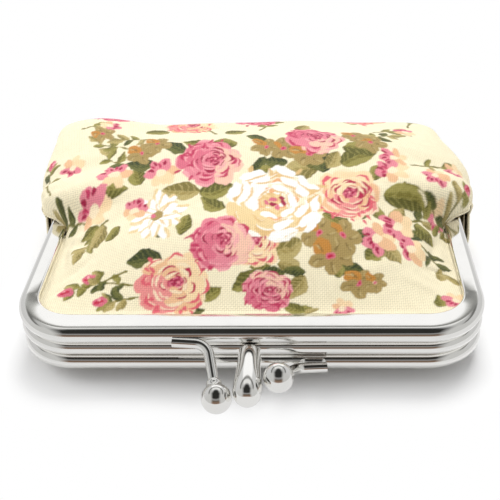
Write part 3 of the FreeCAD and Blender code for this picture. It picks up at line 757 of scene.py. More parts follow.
def wander(rows, columns, cell, seed):
    """Smooth random field between -1 and 1 that changes over about `cell` grid steps."""
    lattice = np.random.default_rng(seed).uniform(-1, 1, (int(rows / cell) + 3, int(columns / cell) + 3))
    down = np.arange(rows) / cell
    over = np.arange(columns) / cell
    i, j = down.astype(int), over.astype(int)
    fi = smooth(down - i)[:, None]
    fj = smooth(over - j)[None, :]
    low = lattice[i][:, j] * (1 - fj) + lattice[i][:, j + 1] * fj
    high = lattice[i + 1][:, j] * (1 - fj) + lattice[i + 1][:, j + 1] * fj
    return low * (1 - fi) + high * fi


class Canvas:
    """Cloth laid flat, painted with loose brush shapes; places are millimetres (across, along)."""

    def __init__(self, width, height, step, ground, seed, tall=1.0):
        self.step = step
        self.tall = tall
        self.left = -width / 2
        self.columns = int(width / step)
        self.rows = int(height / step)
        self.paint = np.empty((self.rows, self.columns, 3))
        self.paint[:] = ground
        self.grid_u, self.grid_v = np.meshgrid(
            self.left + (np.arange(self.columns) + 0.5) * step, (np.arange(self.rows) + 0.5) * step)
        for wave, amount in ((3.2, 0.5), (1.1, 0.22)):
            self.grid_u += amount * wander(self.rows, self.columns, wave / step, seed)
            self.grid_v += amount * wander(self.rows, self.columns, wave / step, seed + 1)
            seed += 2
        self.grain = wander(self.rows, self.columns, 0.55 / step, seed)

    def along(self, v):
        """Canvas place of a place along the cloth; beyond the first 15 mm the print runs a little long."""
        return np.where(np.asarray(v) < 15.0, v, 15.0 + (np.asarray(v) - 15.0) / self.tall)

    def window(self, u, v, reach):
        """The part of the canvas within reach of a place."""
        left = max(int((u - reach - self.left) / self.step), 0)
        right = min(int((u + reach - self.left) / self.step) + 1, self.columns)
        low = max(int((v - reach) / self.step), 0)
        high = min(int((v + reach) / self.step) + 1, self.rows)
        return (slice(low, max(high, low)), slice(left, max(right, left)))

    def turned(self, window, u, v, angle):
        """Offsets from a place, measured along and across a heading."""
        du = self.grid_u[window] - u
        dv = self.grid_v[window] - v
        c, s = math.cos(angle), math.sin(angle)
        return du * c + dv * s, -du * s + dv * c

    def lay(self, window, inside, colour, strength=1.0):
        """Paint where `inside` (millimetres within the shape's edge) is positive, with a dry edge."""
        if not inside.size:
            return
        cover = np.clip(inside / 0.2 + 0.5 + 0.7 * self.grain[window], 0.0, 1.0)[..., None] * strength
        self.paint[window] = self.paint[window] * (1 - cover) + np.asarray(colour) * cover

    def dab(self, u, v, length, width, angle, colour, strength=1.0):
        """Blunt oval touch of the brush."""
        window = self.window(u, v, max(length, width) * 1.2 + 0.8)
        a, b = self.turned(window, u, v, angle)
        self.lay(window, (1 - np.hypot(a / length, b / width)) * min(length, width), colour, strength)

    def comma(self, u, v, length, width, angle, bend, colour, strength=1.0):
        """Bent touch of the brush, thick where it starts and thin where it leaves the cloth."""
        window = self.window(u, v, length + width + 0.8)
        a, b = self.turned(window, u, v, angle)
        share = a / length
        b = b - bend * length * (share * share - share)
        half = width / 2 * np.sqrt(np.clip(1 - (2 * np.clip(share, 0, 1) - 1) ** 2, 0, 1)) * (1.25 - 0.6 * share)
        self.lay(window, np.where((share < 0) | (share > 1), -1.0, half - np.abs(b)), colour, strength)

    def stroke(self, points, start_width, end_width, colour):
        """Line through points that changes its width evenly."""
        points = [np.array(point, float) for point in points]
        count = len(points) - 1
        for i, (start, end) in enumerate(zip(points, points[1:])):
            middle = (start + end) / 2
            window = self.window(*middle, np.linalg.norm(end - start) / 2 + start_width + 0.8)
            du = self.grid_u[window] - start[0]
            dv = self.grid_v[window] - start[1]
            axis = end - start
            share = np.clip((du * axis[0] + dv * axis[1]) / (axis @ axis + 1e-9), 0, 1)
            gap = np.hypot(du - share * axis[0], dv - share * axis[1])
            width = start_width + (end_width - start_width) * (i + share) / count
            self.lay(window, width / 2 - gap, colour)

    def read(self, flat):
        """Colours at flat places of the cloth."""
        u = np.clip((flat[..., 0] - self.left) / self.step - 0.5, 0, self.columns - 1.001)
        v = np.clip(self.along(flat[..., 1]) / self.step - 0.5, 0, self.rows - 1.001)
        i = v.astype(int)
        j = u.astype(int)
        fi = (v - i)[..., None]
        fj = (u - j)[..., None]
        paint = self.paint
        low = paint[i, j] * (1 - fj) + paint[i, j + 1] * fj
        high = paint[i + 1, j] * (1 - fj) + paint[i + 1, j + 1] * fj
        return low * (1 - fi) + high * fi


def palette(**shades):
    return {name: srgb(*shade) for name, shade in shades.items()}


PINK = palette(main=(232, 138, 152), mid=(222, 112, 134), pale=(247, 200, 176), rim=(246, 172, 176),
               dark=(196, 52, 92), deep=(164, 20, 66))
PEACH = palette(main=(240, 192, 148), mid=(236, 146, 142), pale=(250, 220, 174), rim=(252, 232, 198),
                dark=(226, 96, 110), deep=(186, 32, 74))
WHITE = palette(main=(255, 252, 243), mid=(250, 236, 206), pale=(240, 212, 158), rim=(255, 254, 250),
                dark=(230, 192, 132), deep=(238, 178, 128))
OLIVE = palette(light=(166, 158, 86), mid=(124, 116, 46), dark=(82, 82, 26))
KHAKI = palette(light=(198, 180, 120), mid=(162, 144, 80), dark=(114, 104, 44))
FOREST = palette(light=(118, 118, 60), mid=(76, 82, 34), dark=(44, 56, 26))
TAN = palette(light=(200, 178, 122), main=(170, 146, 88), dark=(122, 100, 50), warm=(198, 136, 58))
CRIMSON = srgb(196, 34, 70)


def off(u, v, far, way):
    """The place that lies far from (u, v) in the direction way."""
    return u + far * math.cos(way), v + far * math.sin(way)


def leaf(canvas, random, u, v, length, angle, tones, fat=0.55):
    """Blunt leaf from its stalk end: one half dark, the other lighter, with light vein streaks."""
    window = canvas.window(u, v, length * 1.15 + 0.8)
    a, b = canvas.turned(window, u, v, angle)
    share = np.clip(a / length, 0.0, 1.0)
    bend = random.uniform(-0.16, 0.16)
    b = b - bend * length * share * (1 - share) * 2
    half = length * fat / 2 * np.sin(np.pi * share ** 0.85) ** 0.72
    inside = np.where((a < 0) | (a > length), -1.0, half - np.abs(b))
    side = random.choice((-1, 1))
    canvas.lay(window, inside, tones["mid"])
    canvas.lay(window, np.minimum(inside, side * b - 0.1), tones["dark"], 0.75)
    canvas.lay(window, np.minimum(inside, -side * b - half * 0.35), tones["light"], 0.65)
    veins = 0.16 - np.abs((a - np.abs(b) * 0.8) % (length * 0.17) - length * 0.085)
    canvas.lay(window, np.minimum(np.minimum(inside, veins), 0.3), tones["light"], 0.6)
    canvas.lay(window, np.minimum(inside, 0.14 - np.abs(b)), tones["light"], 0.5)


def rose(canvas, random, u, v, size, tones, sun, marks=1.0):
    """Full rose: scalloped rows of petals, paler towards `sun`, with dark marks under each row's edge."""
    window = canvas.window(u, v, size * 1.25 + 1.0)
    rows = ((1.0, 9), (0.83, 8), (0.66, 7), (0.5, 6), (0.35, 5), (0.21, 4))
    for k, (far, count) in enumerate(rows):
        shift = 0.05 * size * k
        a, b = canvas.turned(window, u + shift * 0.5, v + shift * 0.4, 0.0)
        reach = np.hypot(a, b * 1.03)
        phase = random.uniform(0, 2 * math.pi)
        turn = (np.arctan2(b, a) + phase) % (2 * math.pi) * count / (2 * math.pi)
        petal = np.minimum(turn.astype(int), count - 1)

        def per_petal(draw):
            return np.array([draw() for _ in range(count)])[petal]

        within = np.abs(2 * (turn - petal) - 1)
        edge = size * far * per_petal(lambda: random.uniform(0.9, 1.06)) * (1 - 0.13 * within ** 2.5)
        if k:
            thick = per_petal(lambda: random.choice((0.0, 0.6, 1.0, 1.25))) * marks
            offset = per_petal(lambda: random.uniform(-0.3, 0.3))
            under = edge + 0.085 * size * thick * np.clip(1 - (2 * (turn - petal) - 1 + offset) ** 2 * 1.6, 0, 1)
            canvas.lay(window, np.minimum(under - reach, under - edge - 0.05), tones["deep" if k > 2 else "dark"])
        colours = []
        for index in range(count):
            lit = math.cos(2 * math.pi * (index + 0.5) / count - phase - sun) + random.uniform(-0.5, 0.5)
            colours.append(tones["pale" if lit > 0.45 else "mid" if lit < -0.55 else "main"])
        canvas.lay(window, edge - reach, np.array(colours)[petal])
        rim = per_petal(lambda: random.choice((0.0, 0.4, 0.8)))
        canvas.lay(window, np.minimum(edge - reach, reach - edge + 0.13 * size * rim * (1 - within ** 2) - 0.05),
                   tones["rim"], 0.85)
    for k in range(int(11 * marks)):
        way = sun + math.pi + random.uniform(-1.7, 1.7)
        far = size * random.uniform(0.55, 0.93)
        canvas.comma(*off(u, v, far, way), size * random.uniform(0.14, 0.26), size * 0.1,
                     way + random.uniform(-0.7, 0.7), 0.3, tones["dark"], 0.95)


def heart(canvas, u, v, size, tones):
    """Curled middle of a rose: short bent marks that wind inwards."""
    canvas.dab(u, v, size * 1.1, size * 0.85, 0.3, tones["mid"])
    for k in range(9):
        way = 1.1 * k
        far = size * (1.0 - 0.095 * k)
        canvas.comma(u + far * math.cos(way), v + far * math.sin(way) * 0.85, size * 0.85, size * 0.3,
                     way + math.pi / 2, -0.45, tones["deep"])
    canvas.dab(u, v, size * 0.2, size * 0.16, 0.0, tones["rim"])


def white_rose(canvas, random, u, v, size):
    """Large pale rose: tan ground with long white brush petals, and a pink middle."""
    sun = 3.9
    rose(canvas, random, u, v, size, WHITE, sun, 1.15)
    for turn, count, near, far in ((0.0, 9, 0.72, 0.98), (0.5, 8, 0.5, 0.78), (0.25, 6, 0.3, 0.52)):
        for k in range(count):
            way = 2 * math.pi * (k + turn) / count + random.uniform(-0.1, 0.1)
            if math.cos(way - sun) > 0.75 and near > 0.4:
                continue
            span = size * random.uniform(0.42, 0.58) * (0.6 + near * 0.5)
            heading = way + math.pi / 2 + random.uniform(-0.2, 0.2)
            start = off(*off(u, v, size * (near + far) / 2, way), -span / 2, heading)
            canvas.comma(*start, span, size * (far - near) * 0.72, heading, -0.34, WHITE["rim"])
            canvas.comma(*off(*start, -0.1 * size, way), span * 0.9, size * 0.05, heading, -0.3, WHITE["dark"], 0.9)
    middle = dict(mid=WHITE["pale"], deep=WHITE["dark"], rim=PINK["mid"])
    heart(canvas, u - size * 0.05, v + size * 0.05, size * 0.2, middle)
    for k in range(7):
        canvas.dab(u + random.uniform(-0.14, 0.24) * size, v + random.uniform(-0.16, 0.14) * size, size * 0.07,
                   size * 0.045, random.uniform(-1.2, 0.2), PINK["mid" if k % 2 else "deep"])


def blossom(canvas, random, u, v, size, sun=0.0):
    """Small open flower, peach on its sunny side and pink with a few crimson marks on the other."""
    count = 6
    lean = random.uniform(0, 1.0)
    for k in range(count):
        way = 2 * math.pi * k / count + lean
        lit = math.cos(way - sun)
        colour = PEACH["pale"] if lit > 0.6 else PEACH["main"] if lit > 0 else PINK["main"]
        canvas.dab(*off(u, v, size * 0.52, way), size * 0.46, size * random.uniform(0.28, 0.38), way, colour)
    canvas.dab(u, v, size * 0.3, size * 0.26, lean, PEACH["rim"])
    for k in range(5):
        way = sun + math.pi + (k - 2) * 0.42
        far = size * random.uniform(0.3, 0.6)
        canvas.comma(*off(u, v, far, way), size * 0.34, size * 0.18, way + 0.3, 0.3,
                     PINK["dark" if k % 2 else "deep"])


def tan_flower(canvas, random, u, v, size):
    """Dull tan flower of five round petals, one or two of them orange, with a red middle."""
    lean = random.uniform(0, 1.2)
    for k in range(5):
        way = 2 * math.pi * k / 5 + lean
        petal = off(u, v, size * 0.54, way)
        canvas.dab(*petal, size * 0.46, size * 0.4, way, TAN["warm" if math.cos(way - 2.6) > 0.78 else "main"])
        canvas.comma(*off(*petal, -size * 0.2, way), size * 0.5, size * 0.12, way, 0.2, TAN["dark"], 0.7)
        canvas.comma(*petal, size * 0.4, size * 0.12, way + 0.5, 0.2, TAN["light"], 0.7)
    canvas.dab(u, v, size * 0.2, size * 0.15, lean, PINK["mid"])
    canvas.dab(u, v, size * 0.1, size * 0.08, lean, CRIMSON)


def daisy(canvas, random, u, v, size):
    """White flower with long loose petals over tan shade, and a pink and tan middle."""
    lean = random.uniform(0, 1.0)
    for ring, reach in ((0, 1.0), (1, 0.8)):
        for k in range(9):
            way = 2 * math.pi * (k + ring * 0.5) / 9 + lean
            length = size * reach * random.uniform(0.85, 1.12)
            canvas.comma(u, v, length * 1.04, size * 0.46, way + 0.1, 0.1, WHITE["pale"], 0.9)
            canvas.comma(u, v, length, size * 0.34, way, 0.1, WHITE["rim"])
    for k in range(7):
        way = 2 * math.pi * k / 7 + lean
        canvas.comma(*off(u, v, size * 0.2, way), size * 0.45, size * 0.08, way, 0.2, WHITE["dark"], 0.8)
    canvas.dab(u, v, size * 0.24, size * 0.18, lean, TAN["main"])
    canvas.dab(u - size * 0.12, v, size * 0.1, size * 0.08, lean, PINK["mid"])


def bud(canvas, random, u, v, size, angle):
    """Pink bud in a cup of two small leaves."""
    leaf(canvas, random, u, v, size * 1.1, angle + 0.75, OLIVE, 0.42)
    leaf(canvas, random, u, v, size * 1.0, angle - 0.8, KHAKI, 0.42)
    tip = off(u, v, size * 0.62, angle)
    canvas.dab(*tip, size * 0.56, size * 0.42, angle, PINK["mid"])
    canvas.comma(*off(*tip, -size * 0.3, angle), size * 0.75, size * 0.26, angle + 0.25, 0.25, CRIMSON)
    canvas.comma(*tip, size * 0.4, size * 0.16, angle - 0.9, 0.25, PINK["rim"])


def sprig(canvas, random, u, v, angle, length, end):
    """Bent stem with a few blunt leaves in pairs; its end is a bud, a leaf or a small flower."""
    bend = random.uniform(-0.7, 0.7)
    points = [(u, v)]
    for step in range(8):
        points.append(off(*points[-1], length / 8, angle))
        angle += bend / 8
    canvas.stroke(points, 0.6, 0.35, OLIVE["mid"])
    for i, way in ((3, 1), (4, -1), (6, 1), (7, -1)):
        tones = random.choice((OLIVE, OLIVE, KHAKI, FOREST))
        leaf(canvas, random, *points[i], random.uniform(2.9, 4.3), angle + way * random.uniform(0.6, 1.1), tones, 0.5)
    u, v = points[-1]
    if end == "bud":
        bud(canvas, random, u, v, 3.0, angle)
    elif end == "flower":
        blossom(canvas, random, u, v, 3.0, random.uniform(0, 6))
    else:
        leaf(canvas, random, u, v, 4.2, angle, KHAKI, 0.5)


def bouquet(canvas, random, sprigs, leaves, flowers):
    """Paint sprigs (u, v, degrees, length, end), leaves (u, v, degrees, length, tones) and flowers over them.

    A flower is (kind, u, v, size, way to the light); a rose has its tones as its kind, and some kinds need no way.
    """
    for u, v, angle, length, end in sprigs:
        sprig(canvas, random, u, float(canvas.along(v)), math.radians(angle), length, end)
    for u, v, angle, length, tones in leaves:
        plump = random.uniform(0.52, 0.72)
        leaf(canvas, random, u, float(canvas.along(v)), length, math.radians(angle), tones, plump)
    for kind, u, v, size, *sun in flowers:
        v = float(canvas.along(v))
        if kind in (white_rose, tan_flower, daisy):
            kind(canvas, random, u, v, size)
        elif kind is blossom:
            blossom(canvas, random, u, v, size, *sun)
        else:
            rose(canvas, random, u, v, size, kind, *sun)
            heart(canvas, u + size * 0.1, v + size * 0.08, size * 0.19, PINK)


def front_print():
    """Bouquet across the front panel, in millimetres on the flat cloth, with sprigs round it."""
    random = Random(11)
    canvas = Canvas(134, 100, 0.18, CREAM, 5, 1.25)
    sprigs = [
        (-23, 8, 168, 11, "bud"), (-24, 5, 185, 6, "bud"), (-27, 12, 200, 12, "bud"), (-34, 30, 215, 8, "leaf"),
        (-40, 32, 165, 8, "leaf"), (-30, 47, 150, 9, "leaf"), (-31, 56, 165, 10, "leaf"), (-24, 60, 160, 9, "leaf"),
        (8, 4, -35, 6, "leaf"), (38, 24, -40, 9, "leaf"), (36, 30, 20, 9, "flower"), (36, 40, -15, 12, "leaf"),
        (38, 48, 20, 12, "flower"), (46, 30, 70, 10, "bud"), (28, 60, 15, 9, "leaf"), (33, 66, 30, 9, "flower"),
        (-44, 70, 20, 8, "flower"), (-8, 66, 100, 9, "leaf"), (4, 70, 60, 8, "bud"), (-50, 40, 120, 12, "bud"),
        (-20, 82, 150, 10, "flower"), (22, 84, 30, 10, "bud"), (44, 74, 60, 10, "flower"),
    ]
    leaves = [
        (-19.5, 14.5, 178, 8, FOREST), (-20, 20.5, 110, 5, OLIVE), (-15.5, 21.5, 75, 5.5, OLIVE),
        (-11.5, 12.5, 185, 4.6, FOREST), (5, 17, 195, 4.6, OLIVE), (4.5, 13.5, 200, 4.8, OLIVE),
        (5, 15, 25, 7, KHAKI), (6, 13.5, -25, 6, KHAKI), (2.5, 10.5, 215, 7, OLIVE), (2.5, 10.5, 5, 5, FOREST),
        (-12.5, 36, 20, 8.5, OLIVE), (-6, 30, 150, 7, OLIVE), (-12.5, 36.5, 172, 9, KHAKI), (-15, 31, 200, 4, FOREST),
        (0, 44.5, 60, 6, FOREST), (1, 44.5, 15, 6, OLIVE), (8.5, 48, 165, 6, FOREST), (16, 47, 195, 9.5, KHAKI),
        (17, 45, 130, 8.5, OLIVE), (17, 44, 95, 9, FOREST), (18, 46, 60, 7, KHAKI), (21.5, 47.5, 25, 9, OLIVE),
        (28.5, 41, 70, 5, OLIVE), (31, 36.5, -4, 9.5, OLIVE), (15, 26.5, 215, 6, FOREST), (16.5, 27.5, -35, 7, OLIVE),
        (25, 27, 75, 6.5, OLIVE), (30, 28, 110, 5, OLIVE), (31.5, 28.5, 50, 5.5, KHAKI), (23.5, 22, -10, 6.5, FOREST),
        (29.5, 19.5, 220, 5.5, OLIVE), (30, 19.5, -50, 5, KHAKI), (36, 25, 20, 5, FOREST), (38, 30, -30, 6, OLIVE),
        (18, 12.5, -10, 7, FOREST), (20, 10, 130, 4, OLIVE), (12, 10.5, 165, 5, FOREST), (12, 9.5, 230, 6, KHAKI),
        (-36, 29, 205, 5, OLIVE), (-35, 28.5, 250, 6.5, KHAKI), (-31, 27.5, 240, 4.5, OLIVE),
        (-27, 40, 115, 6, OLIVE), (-25, 48.5, 178, 7, FOREST), (-17, 54, 150, 6.5, FOREST),
        (-12, 56.5, 165, 6, OLIVE),
        (-30, 39, 190, 7, OLIVE), (-4, 57.5, 170, 6, OLIVE), (4, 59, 150, 5.5, FOREST), (10, 59, 30, 5, OLIVE),
        (12, 55.5, 190, 5, FOREST), (23, 56, -20, 8, OLIVE), (25, 60, 10, 8, KHAKI), (-14, 0.8, 20, 5, FOREST),
        (-10, 4.5, 40, 5, OLIVE), (12, 1.5, 160, 5, OLIVE), (41, 2.8, 100, 4, OLIVE), (-6, 66, 20, 7, OLIVE),
        (14, 68, 60, 6, KHAKI), (-20, 70, 200, 7, OLIVE), (30, 76, 100, 7, OLIVE),
    ]
    flowers = [
        (tan_flower, 8, 55, 4.6), (tan_flower, 14, 52.5, 4.6), (tan_flower, 3, 56, 3.8), (tan_flower, -28, 53.5, 4.0),
        (tan_flower, -24, 57.5, 3.8), (tan_flower, 30, 57.5, 4.0), (tan_flower, 27, 63, 3.6),
        (tan_flower, 20.5, 20.5, 4.4), (tan_flower, 15, 21, 4.2), (tan_flower, 17.5, 15, 4.6),
        (tan_flower, 23.5, 8.5, 3.8), (tan_flower, 27, 9.2, 2.8), (tan_flower, -38, 66, 3.4),
        (blossom, -22.5, 45, 4.6, -1.0), (blossom, -34, 44, 4.4, -1.2), (blossom, -38, 35, 5.0, -0.7),
        (blossom, 28.5, 21.5, 4.2, 0.6), (blossom, 33.5, 27.5, 4.4, 0.2), (blossom, 36.5, 20.5, 3.6, 0.0),
        (blossom, 33.5, 45, 4.2, -0.2), (blossom, 34.5, 51, 3.6, 0.2), (blossom, 44, 44, 3.6, 1.0),
        (blossom, -46, 52, 3.6, 1.0), (blossom, 20, 2.4, 2.6, 1.6), (blossom, 44, 5.6, 3.0, 1.2),
        (daisy, -22, 29, 7.2), (blossom, -27.5, 32, 3.2, 4.4), (PINK, 16.5, 61, 7.4, -1.0),
        (PEACH, -14, 76, 7.0, 0.5), (PINK, 4, 84, 7.4, 2.0), (PEACH, 34, 84, 7.0, 1.0), (PINK, -36, 84, 6.6, 1.0),
        (PEACH, -16.5, 8, 8.4, 0.6), (PINK, 4, 6.4, 5.2, 1.2), (PEACH, 22, 35.5, 8.4, 1.7),
        (PINK, -10.5, 49.5, 8.4, -0.3), (PEACH, 0.5, 18.5, 6.6, -1.0), (white_rose, 5, 33, 12.0),
        (PINK, -6.5, 18.5, 7.0, 0.1),
    ]
    bouquet(canvas, random, sprigs, leaves, flowers)
    return canvas


def back_print():
    """Looser clumps of the same flowers in a staggered grid."""
    random = Random(23)
    canvas = Canvas(134, 100, 0.25, CREAM, 17)
    sprigs, leaves, flowers = [], [], []
    for column in range(4):
        for row in range(4):
            u = -42 + column * 28 + (10 if row % 2 else -2) + random.uniform(-3, 3)
            v = 12 + row * 24 + random.uniform(-3, 3)
            angle = random.uniform(0, 360)
            for turn in (0, 120, 235):
                sprigs.append((u, v, angle + turn, 12, random.choice(("bud", "flower", "leaf"))))
            for turn in (20, 75, 150, 200, 280, 320):
                way = math.radians(angle + turn)
                leaves.append((*off(u, v, 4, way), angle + turn, random.uniform(6, 8),
                               random.choice((OLIVE, KHAKI, FOREST))))
            kind, size = random.choice((
                (PINK, 8.0), (PINK, 8.0), (PEACH, 8.0), (white_rose, 10.0), (daisy, 6.6), (tan_flower, 5.0)))
            flowers.append((blossom, u + 9, v + 6, 4.2, random.uniform(0, 6)))
            flowers.append((tan_flower, u - 8, v - 6, 4.2))
            flowers.append((kind, u, v, size, random.uniform(0, 6)))
    bouquet(canvas, random, sprigs, leaves, flowers)
    return canvas


# ---- printed panels ----


def rim_hem(name, points, radius):
    """Turned edge along the free rims of a panel, as a thin rolled strip on each side."""
    vertices = []
    faces = []
    for column in (0, -1):
        line = points[:, column]
        keep = [Vector(point) for point in line[(line[:, 1] > -10.0)][::3]]
        add_part(vertices, faces, *tube(keep, radius, 10))
    piece = mesh_object(name, vertices, faces, printed_cloth)
    face_outwards(piece)
    paint_points(piece.data, CREAM)
    layer = piece.data.uv_layers.new(name="flat")
    for loop in piece.data.loops:
        point = piece.data.vertices[loop.vertex_index].co
        layer.data[loop.index].uv = ((point.x + point.z) * 10, point.y * 10)
    return piece


def attach(piece):
    """Bake a cloth's placement into its mesh."""
    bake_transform(piece)


def relieved(panel, relief, *grid):
    """The panel's points with its folds, and their flat places."""
    points, flat = panel.grid(*grid)
    amount = relief(flat) * loose_share(points, flat)
    return points + normals_of(points, panel.sign * 1.0) * amount[..., None], flat


for band, panel, relief, painted in (
        ("front", Panel(1, LEVELS["front"], 25.5, 22.6, 4.0), front_relief, front_print),
        ("back", Panel(-1, LEVELS["back"], -0.6, -0.6, 5.0), back_relief, back_print)):
    points, flat = relieved(panel, relief, ROWS, COLUMNS)
    points = seam_pinch(points)
    if panel.sign < 0:
        points[..., 2] = np.maximum(points[..., 2], FLOOR_GAP)
    cloth = grid_mesh(band + "_printed_panel", points, flat, printed_cloth)
    paint_points(cloth.data, painted().read(flat).reshape(-1, 3))
    if panel.sign < 0:
        cloth.data.flip_normals()
    attach(cloth)
    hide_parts(band + "_panel_flap", band + "_panel_fold", band + "_panel_pouch")
    hem = rim_hem(band + "_panel_hem", points, 0.34)
    attach(hem)

    points, flat = relieved(panel, relief, 150, 170, 1.0)
    lining = grid_mesh(band + "_lining", points, flat, lining_cloth)
    solid = lining.modifiers.new("thickness", "SOLIDIFY")
    solid.thickness = 0.00025
    solid.offset = -1 if panel.sign > 0 else 1
    attach(lining)
    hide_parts(band + "_lining_flap", band + "_lining_fold", band + "_lining_pouch")


# ---- divider ----


def cornered(half, into, corner):
    """Half width where a row lies `into` a shape with rounded corners."""
    if into >= corner:
        return half
    return half - (corner - math.sqrt(max(corner ** 2 - (corner - into) ** 2, 0.0)))


def divider_half(y):
    """Half width: held in the middle bar, free of the arms and their swinging ears, then out to the seams."""
    if y < -9.0:
        return cornered(HELD_HALF + 1.0, y + 45.1, 10.1)
    if y < 6.6:
        return MOUTH_HALF - 0.4
    return cornered(DIVIDER_HALF, 39.4 - y, 10.0)


def make_divider():
    """Doubled cloth held in the middle bar and sewn into the seams."""
    across = 90
    ys = np.concatenate([np.linspace(-45.0, 6.4, 62), np.linspace(6.9, 39.0, 38)])
    flat = np.array([
        np.stack([np.linspace(-divider_half(y), divider_half(y), across), np.full(across, y)], 1) for y in ys])
    ripple = 0.06 * np.sin(flat[..., 0] * 0.5) * np.sin(flat[..., 1] * 0.4)
    edge = np.minimum(np.arange(across), np.arange(across)[::-1])[None, :]
    thick = 0.45 * np.sqrt(np.clip(edge / 2.0, 0.02, 1.0))
    lean = np.array([askew(y) for y in ys])[:, None]
    sides = [np.stack([flat[..., 0] + lean, flat[..., 1], HINGE_Z + side * thick + ripple], 2) for side in (1, -1)]
    ring = np.concatenate([sides[0], sides[1][:, ::-1]], 1)
    ring_flat = np.concatenate([flat, flat[:, ::-1]], 1)
    piece = mesh_object(
        "divider_cloth", ring.reshape(-1, 3).tolist(), closed_faces(len(ys), 2 * across), lining_cloth)
    face_outwards(piece)
    flat_map(piece.data, ring_flat.reshape(-1, 2))
    sharpen(piece, 50)
    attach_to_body(piece, "bag")
    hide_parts("divider")


make_divider()


# ---- camera, floor and light ----

IMAGE_WIDTH = 500.0
FOCAL = 885.7
SENSOR = 36.0
YAW, PITCH_DOWN, ROLL = (math.radians(-3.43), math.radians(33.5), math.radians(-2.25))
CAMERA_AT = Vector((9.77, -176.825, 126.97)) * 0.001

camera_data = bpy.data.cameras.new("view")
camera = bpy.data.objects.new("view", camera_data)
bpy.context.scene.collection.objects.link(camera)
bpy.context.scene.camera = camera
camera_data.sensor_fit = "HORIZONTAL"
camera_data.sensor_width = SENSOR
camera_data.lens = FOCAL * SENSOR / IMAGE_WIDTH
camera_data.clip_start = 0.01
camera_data.clip_end = 20.0
forward = Vector((math.sin(YAW) * math.cos(PITCH_DOWN), math.cos(YAW) * math.cos(PITCH_DOWN), -math.sin(PITCH_DOWN)))
level_right = Vector((math.cos(YAW), -math.sin(YAW), 0.0))
level_up = level_right.cross(forward)
right = level_right * math.cos(ROLL) + level_up * math.sin(ROLL)
up = level_up * math.cos(ROLL) - level_right * math.sin(ROLL)
turned = Matrix((right, up, -forward)).transposed().to_4x4()
camera.matrix_world = Matrix.Translation(CAMERA_AT) @ turned

# The floor is pale and matt near the purse, and turns into the photograph's plain white away from it.
floor_mesh = bpy.data.meshes.new("floor")
floor_mesh.from_pydata([(-4, -4, 0), (4, -4, 0), (4, 4, 0), (-4, 4, 0)], [], [(0, 1, 2, 3)])
floor = bpy.data.objects.new("floor", floor_mesh)
bpy.context.scene.collection.objects.link(floor)
floor_material, nodes, shader = new_material("pale_floor")
floor_mesh.materials.append(floor_material)
nodes.feed(shader, {"Base Color": (0.93, 0.93, 0.93, 1.0), "Roughness": 0.9, "Specular IOR Level": 0.1})
place_on_floor = nodes.add("ShaderNodeNewGeometry", {}, "Position")
split = nodes.add("ShaderNodeSeparateXYZ", {0: place_on_floor}).node
squares = []
for axis, reach in ((0, 0.036), (1, 0.022)):
    beyond = nodes.math("SUBTRACT", nodes.math("ABSOLUTE", split.outputs[axis]), reach)
    beyond = nodes.math("MAXIMUM", beyond, 0.0)
    squares.append(nodes.math("MULTIPLY", beyond, beyond))
away = nodes.math("SQRT", nodes.math("ADD", *squares))
spread = nodes.add("ShaderNodeMapRange", {
    "Value": away, "From Min": 0.0125, "From Max": 0.027, "To Min": 0.0, "To Max": 1.0},
    interpolation_type="SMOOTHSTEP")
ray = nodes.add("ShaderNodeLightPath", {}).node
seen = nodes.math("MAXIMUM", ray.outputs["Is Camera Ray"], ray.outputs["Is Glossy Ray"])
mirrored_less = nodes.math("MULTIPLY", ray.outputs["Is Glossy Ray"], 0.24)
glow = nodes.add("ShaderNodeEmission", {
    "Color": (1.0, 1.0, 1.0, 1.0), "Strength": nodes.math("SUBTRACT", 1.0, mirrored_less)})
mixed = nodes.add("ShaderNodeMixShader", {
    0: nodes.math("MULTIPLY", seen, spread), 1: shader.outputs[0], 2: glow})
nodes.feed(floor_material.node_tree.nodes["Material Output"], {"Surface": mixed})

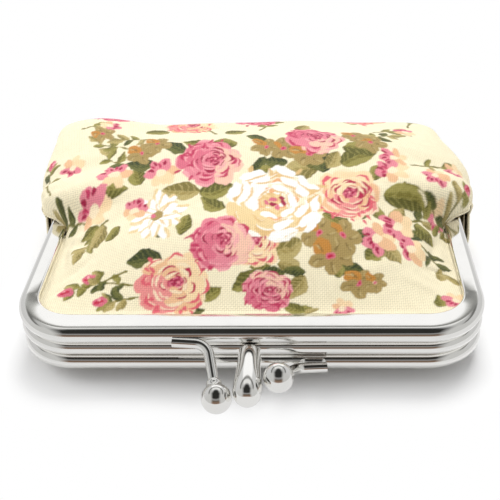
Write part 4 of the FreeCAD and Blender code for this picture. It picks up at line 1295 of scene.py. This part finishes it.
# What the metal mirrors, by direction alone: dark on the camera's side, pale behind, darker to the far sides.
world = bpy.data.worlds.new("studio")
bpy.context.scene.world = world
world.use_nodes = True
world.node_tree.nodes.clear()
nodes = Nodes(world.node_tree)
direction = nodes.add("ShaderNodeTexCoord", {}, "Generated")
split = nodes.add("ShaderNodeSeparateXYZ", {0: direction}).node
near = nodes.ramp(
    split.outputs[2], (0.0, 0.80, 0.78, 0.75), (0.05, 0.26, 0.17, 0.12), (0.28, 0.18, 0.12, 0.085),
    (0.42, 0.12, 0.10, 0.085), (0.50, 0.27, 0.265, 0.26), (0.60, 0.27, 0.265, 0.26),
    (0.69, 0.025, 0.024, 0.022), (1.0, 0.022, 0.022, 0.02))
behind = nodes.ramp(
    split.outputs[2], (0.0, 1.0), (0.595, 1.0), (0.615, 0.70, 0.70, 0.69), (0.635, 0.42, 0.42, 0.40),
    (0.66, 0.23, 0.23, 0.22), (0.70, 0.23, 0.23, 0.22), (0.76, 0.80, 0.80, 0.79), (0.88, 0.78, 0.78, 0.77),
    (0.965, 0.04), (1.0, 0.022, 0.022, 0.02))
side_share = nodes.add("ShaderNodeMapRange", {
    "Value": split.outputs[1], "From Min": -0.12, "From Max": 0.12}, interpolation_type="SMOOTHSTEP")
aside = nodes.math("ABSOLUTE", split.outputs[0])
walls = nodes.ramp(aside, (0.0, 1.0), (0.33, 1.0), (0.42, 0.64), (1.0, 0.58))
behind = nodes.mix(1.0, behind, walls, "MULTIPLY")
near = nodes.mix(nodes.ramp(aside, (0.36, 0.0), (0.62, 1.0)), near, (0.56, 0.56, 0.55, 1.0))
mirrored_room = nodes.mix(side_share, near, behind)
ray = nodes.add("ShaderNodeLightPath", {}).node
plain = nodes.add("ShaderNodeBackground", {"Color": (1.0, 1.0, 1.0, 1.0), "Strength": 0.60})
white = nodes.add("ShaderNodeBackground", {"Color": (1.0, 1.0, 1.0, 1.0), "Strength": 1.0})
room = nodes.add("ShaderNodeBackground", {"Color": mirrored_room})
unseen = nodes.add("ShaderNodeMixShader", {0: ray.outputs["Is Glossy Ray"], 1: plain, 2: room})
shown = nodes.math("MAXIMUM", ray.outputs["Is Camera Ray"], ray.outputs["Is Transmission Ray"])
surface = nodes.add("ShaderNodeMixShader", {0: shown, 1: unseen, 2: white})
nodes.add("ShaderNodeOutputWorld", {"Surface": surface})


def area_light(name, place_at, aim, size, power):
    """Square lamp that the metal doesn't mirror."""
    data = bpy.data.lights.new(name, "AREA")
    data.shape = "SQUARE"
    data.size = size
    data.energy = power
    lamp = bpy.data.objects.new(name, data)
    bpy.context.scene.collection.objects.link(lamp)
    lamp.location = place_at
    lamp.rotation_euler = (Vector(aim) - Vector(place_at)).to_track_quat("-Z", "Y").to_euler()
    lamp.visible_glossy = False


area_light("key", (0.12, 0.40, 0.70), (0, 0.0, 0.01), 0.45, 5.0)
area_light("left", (-0.55, 0.05, 0.40), (0, 0.0, 0.01), 0.35, 1.5)

bpy.context.scene.view_settings.view_transform = "Standard"
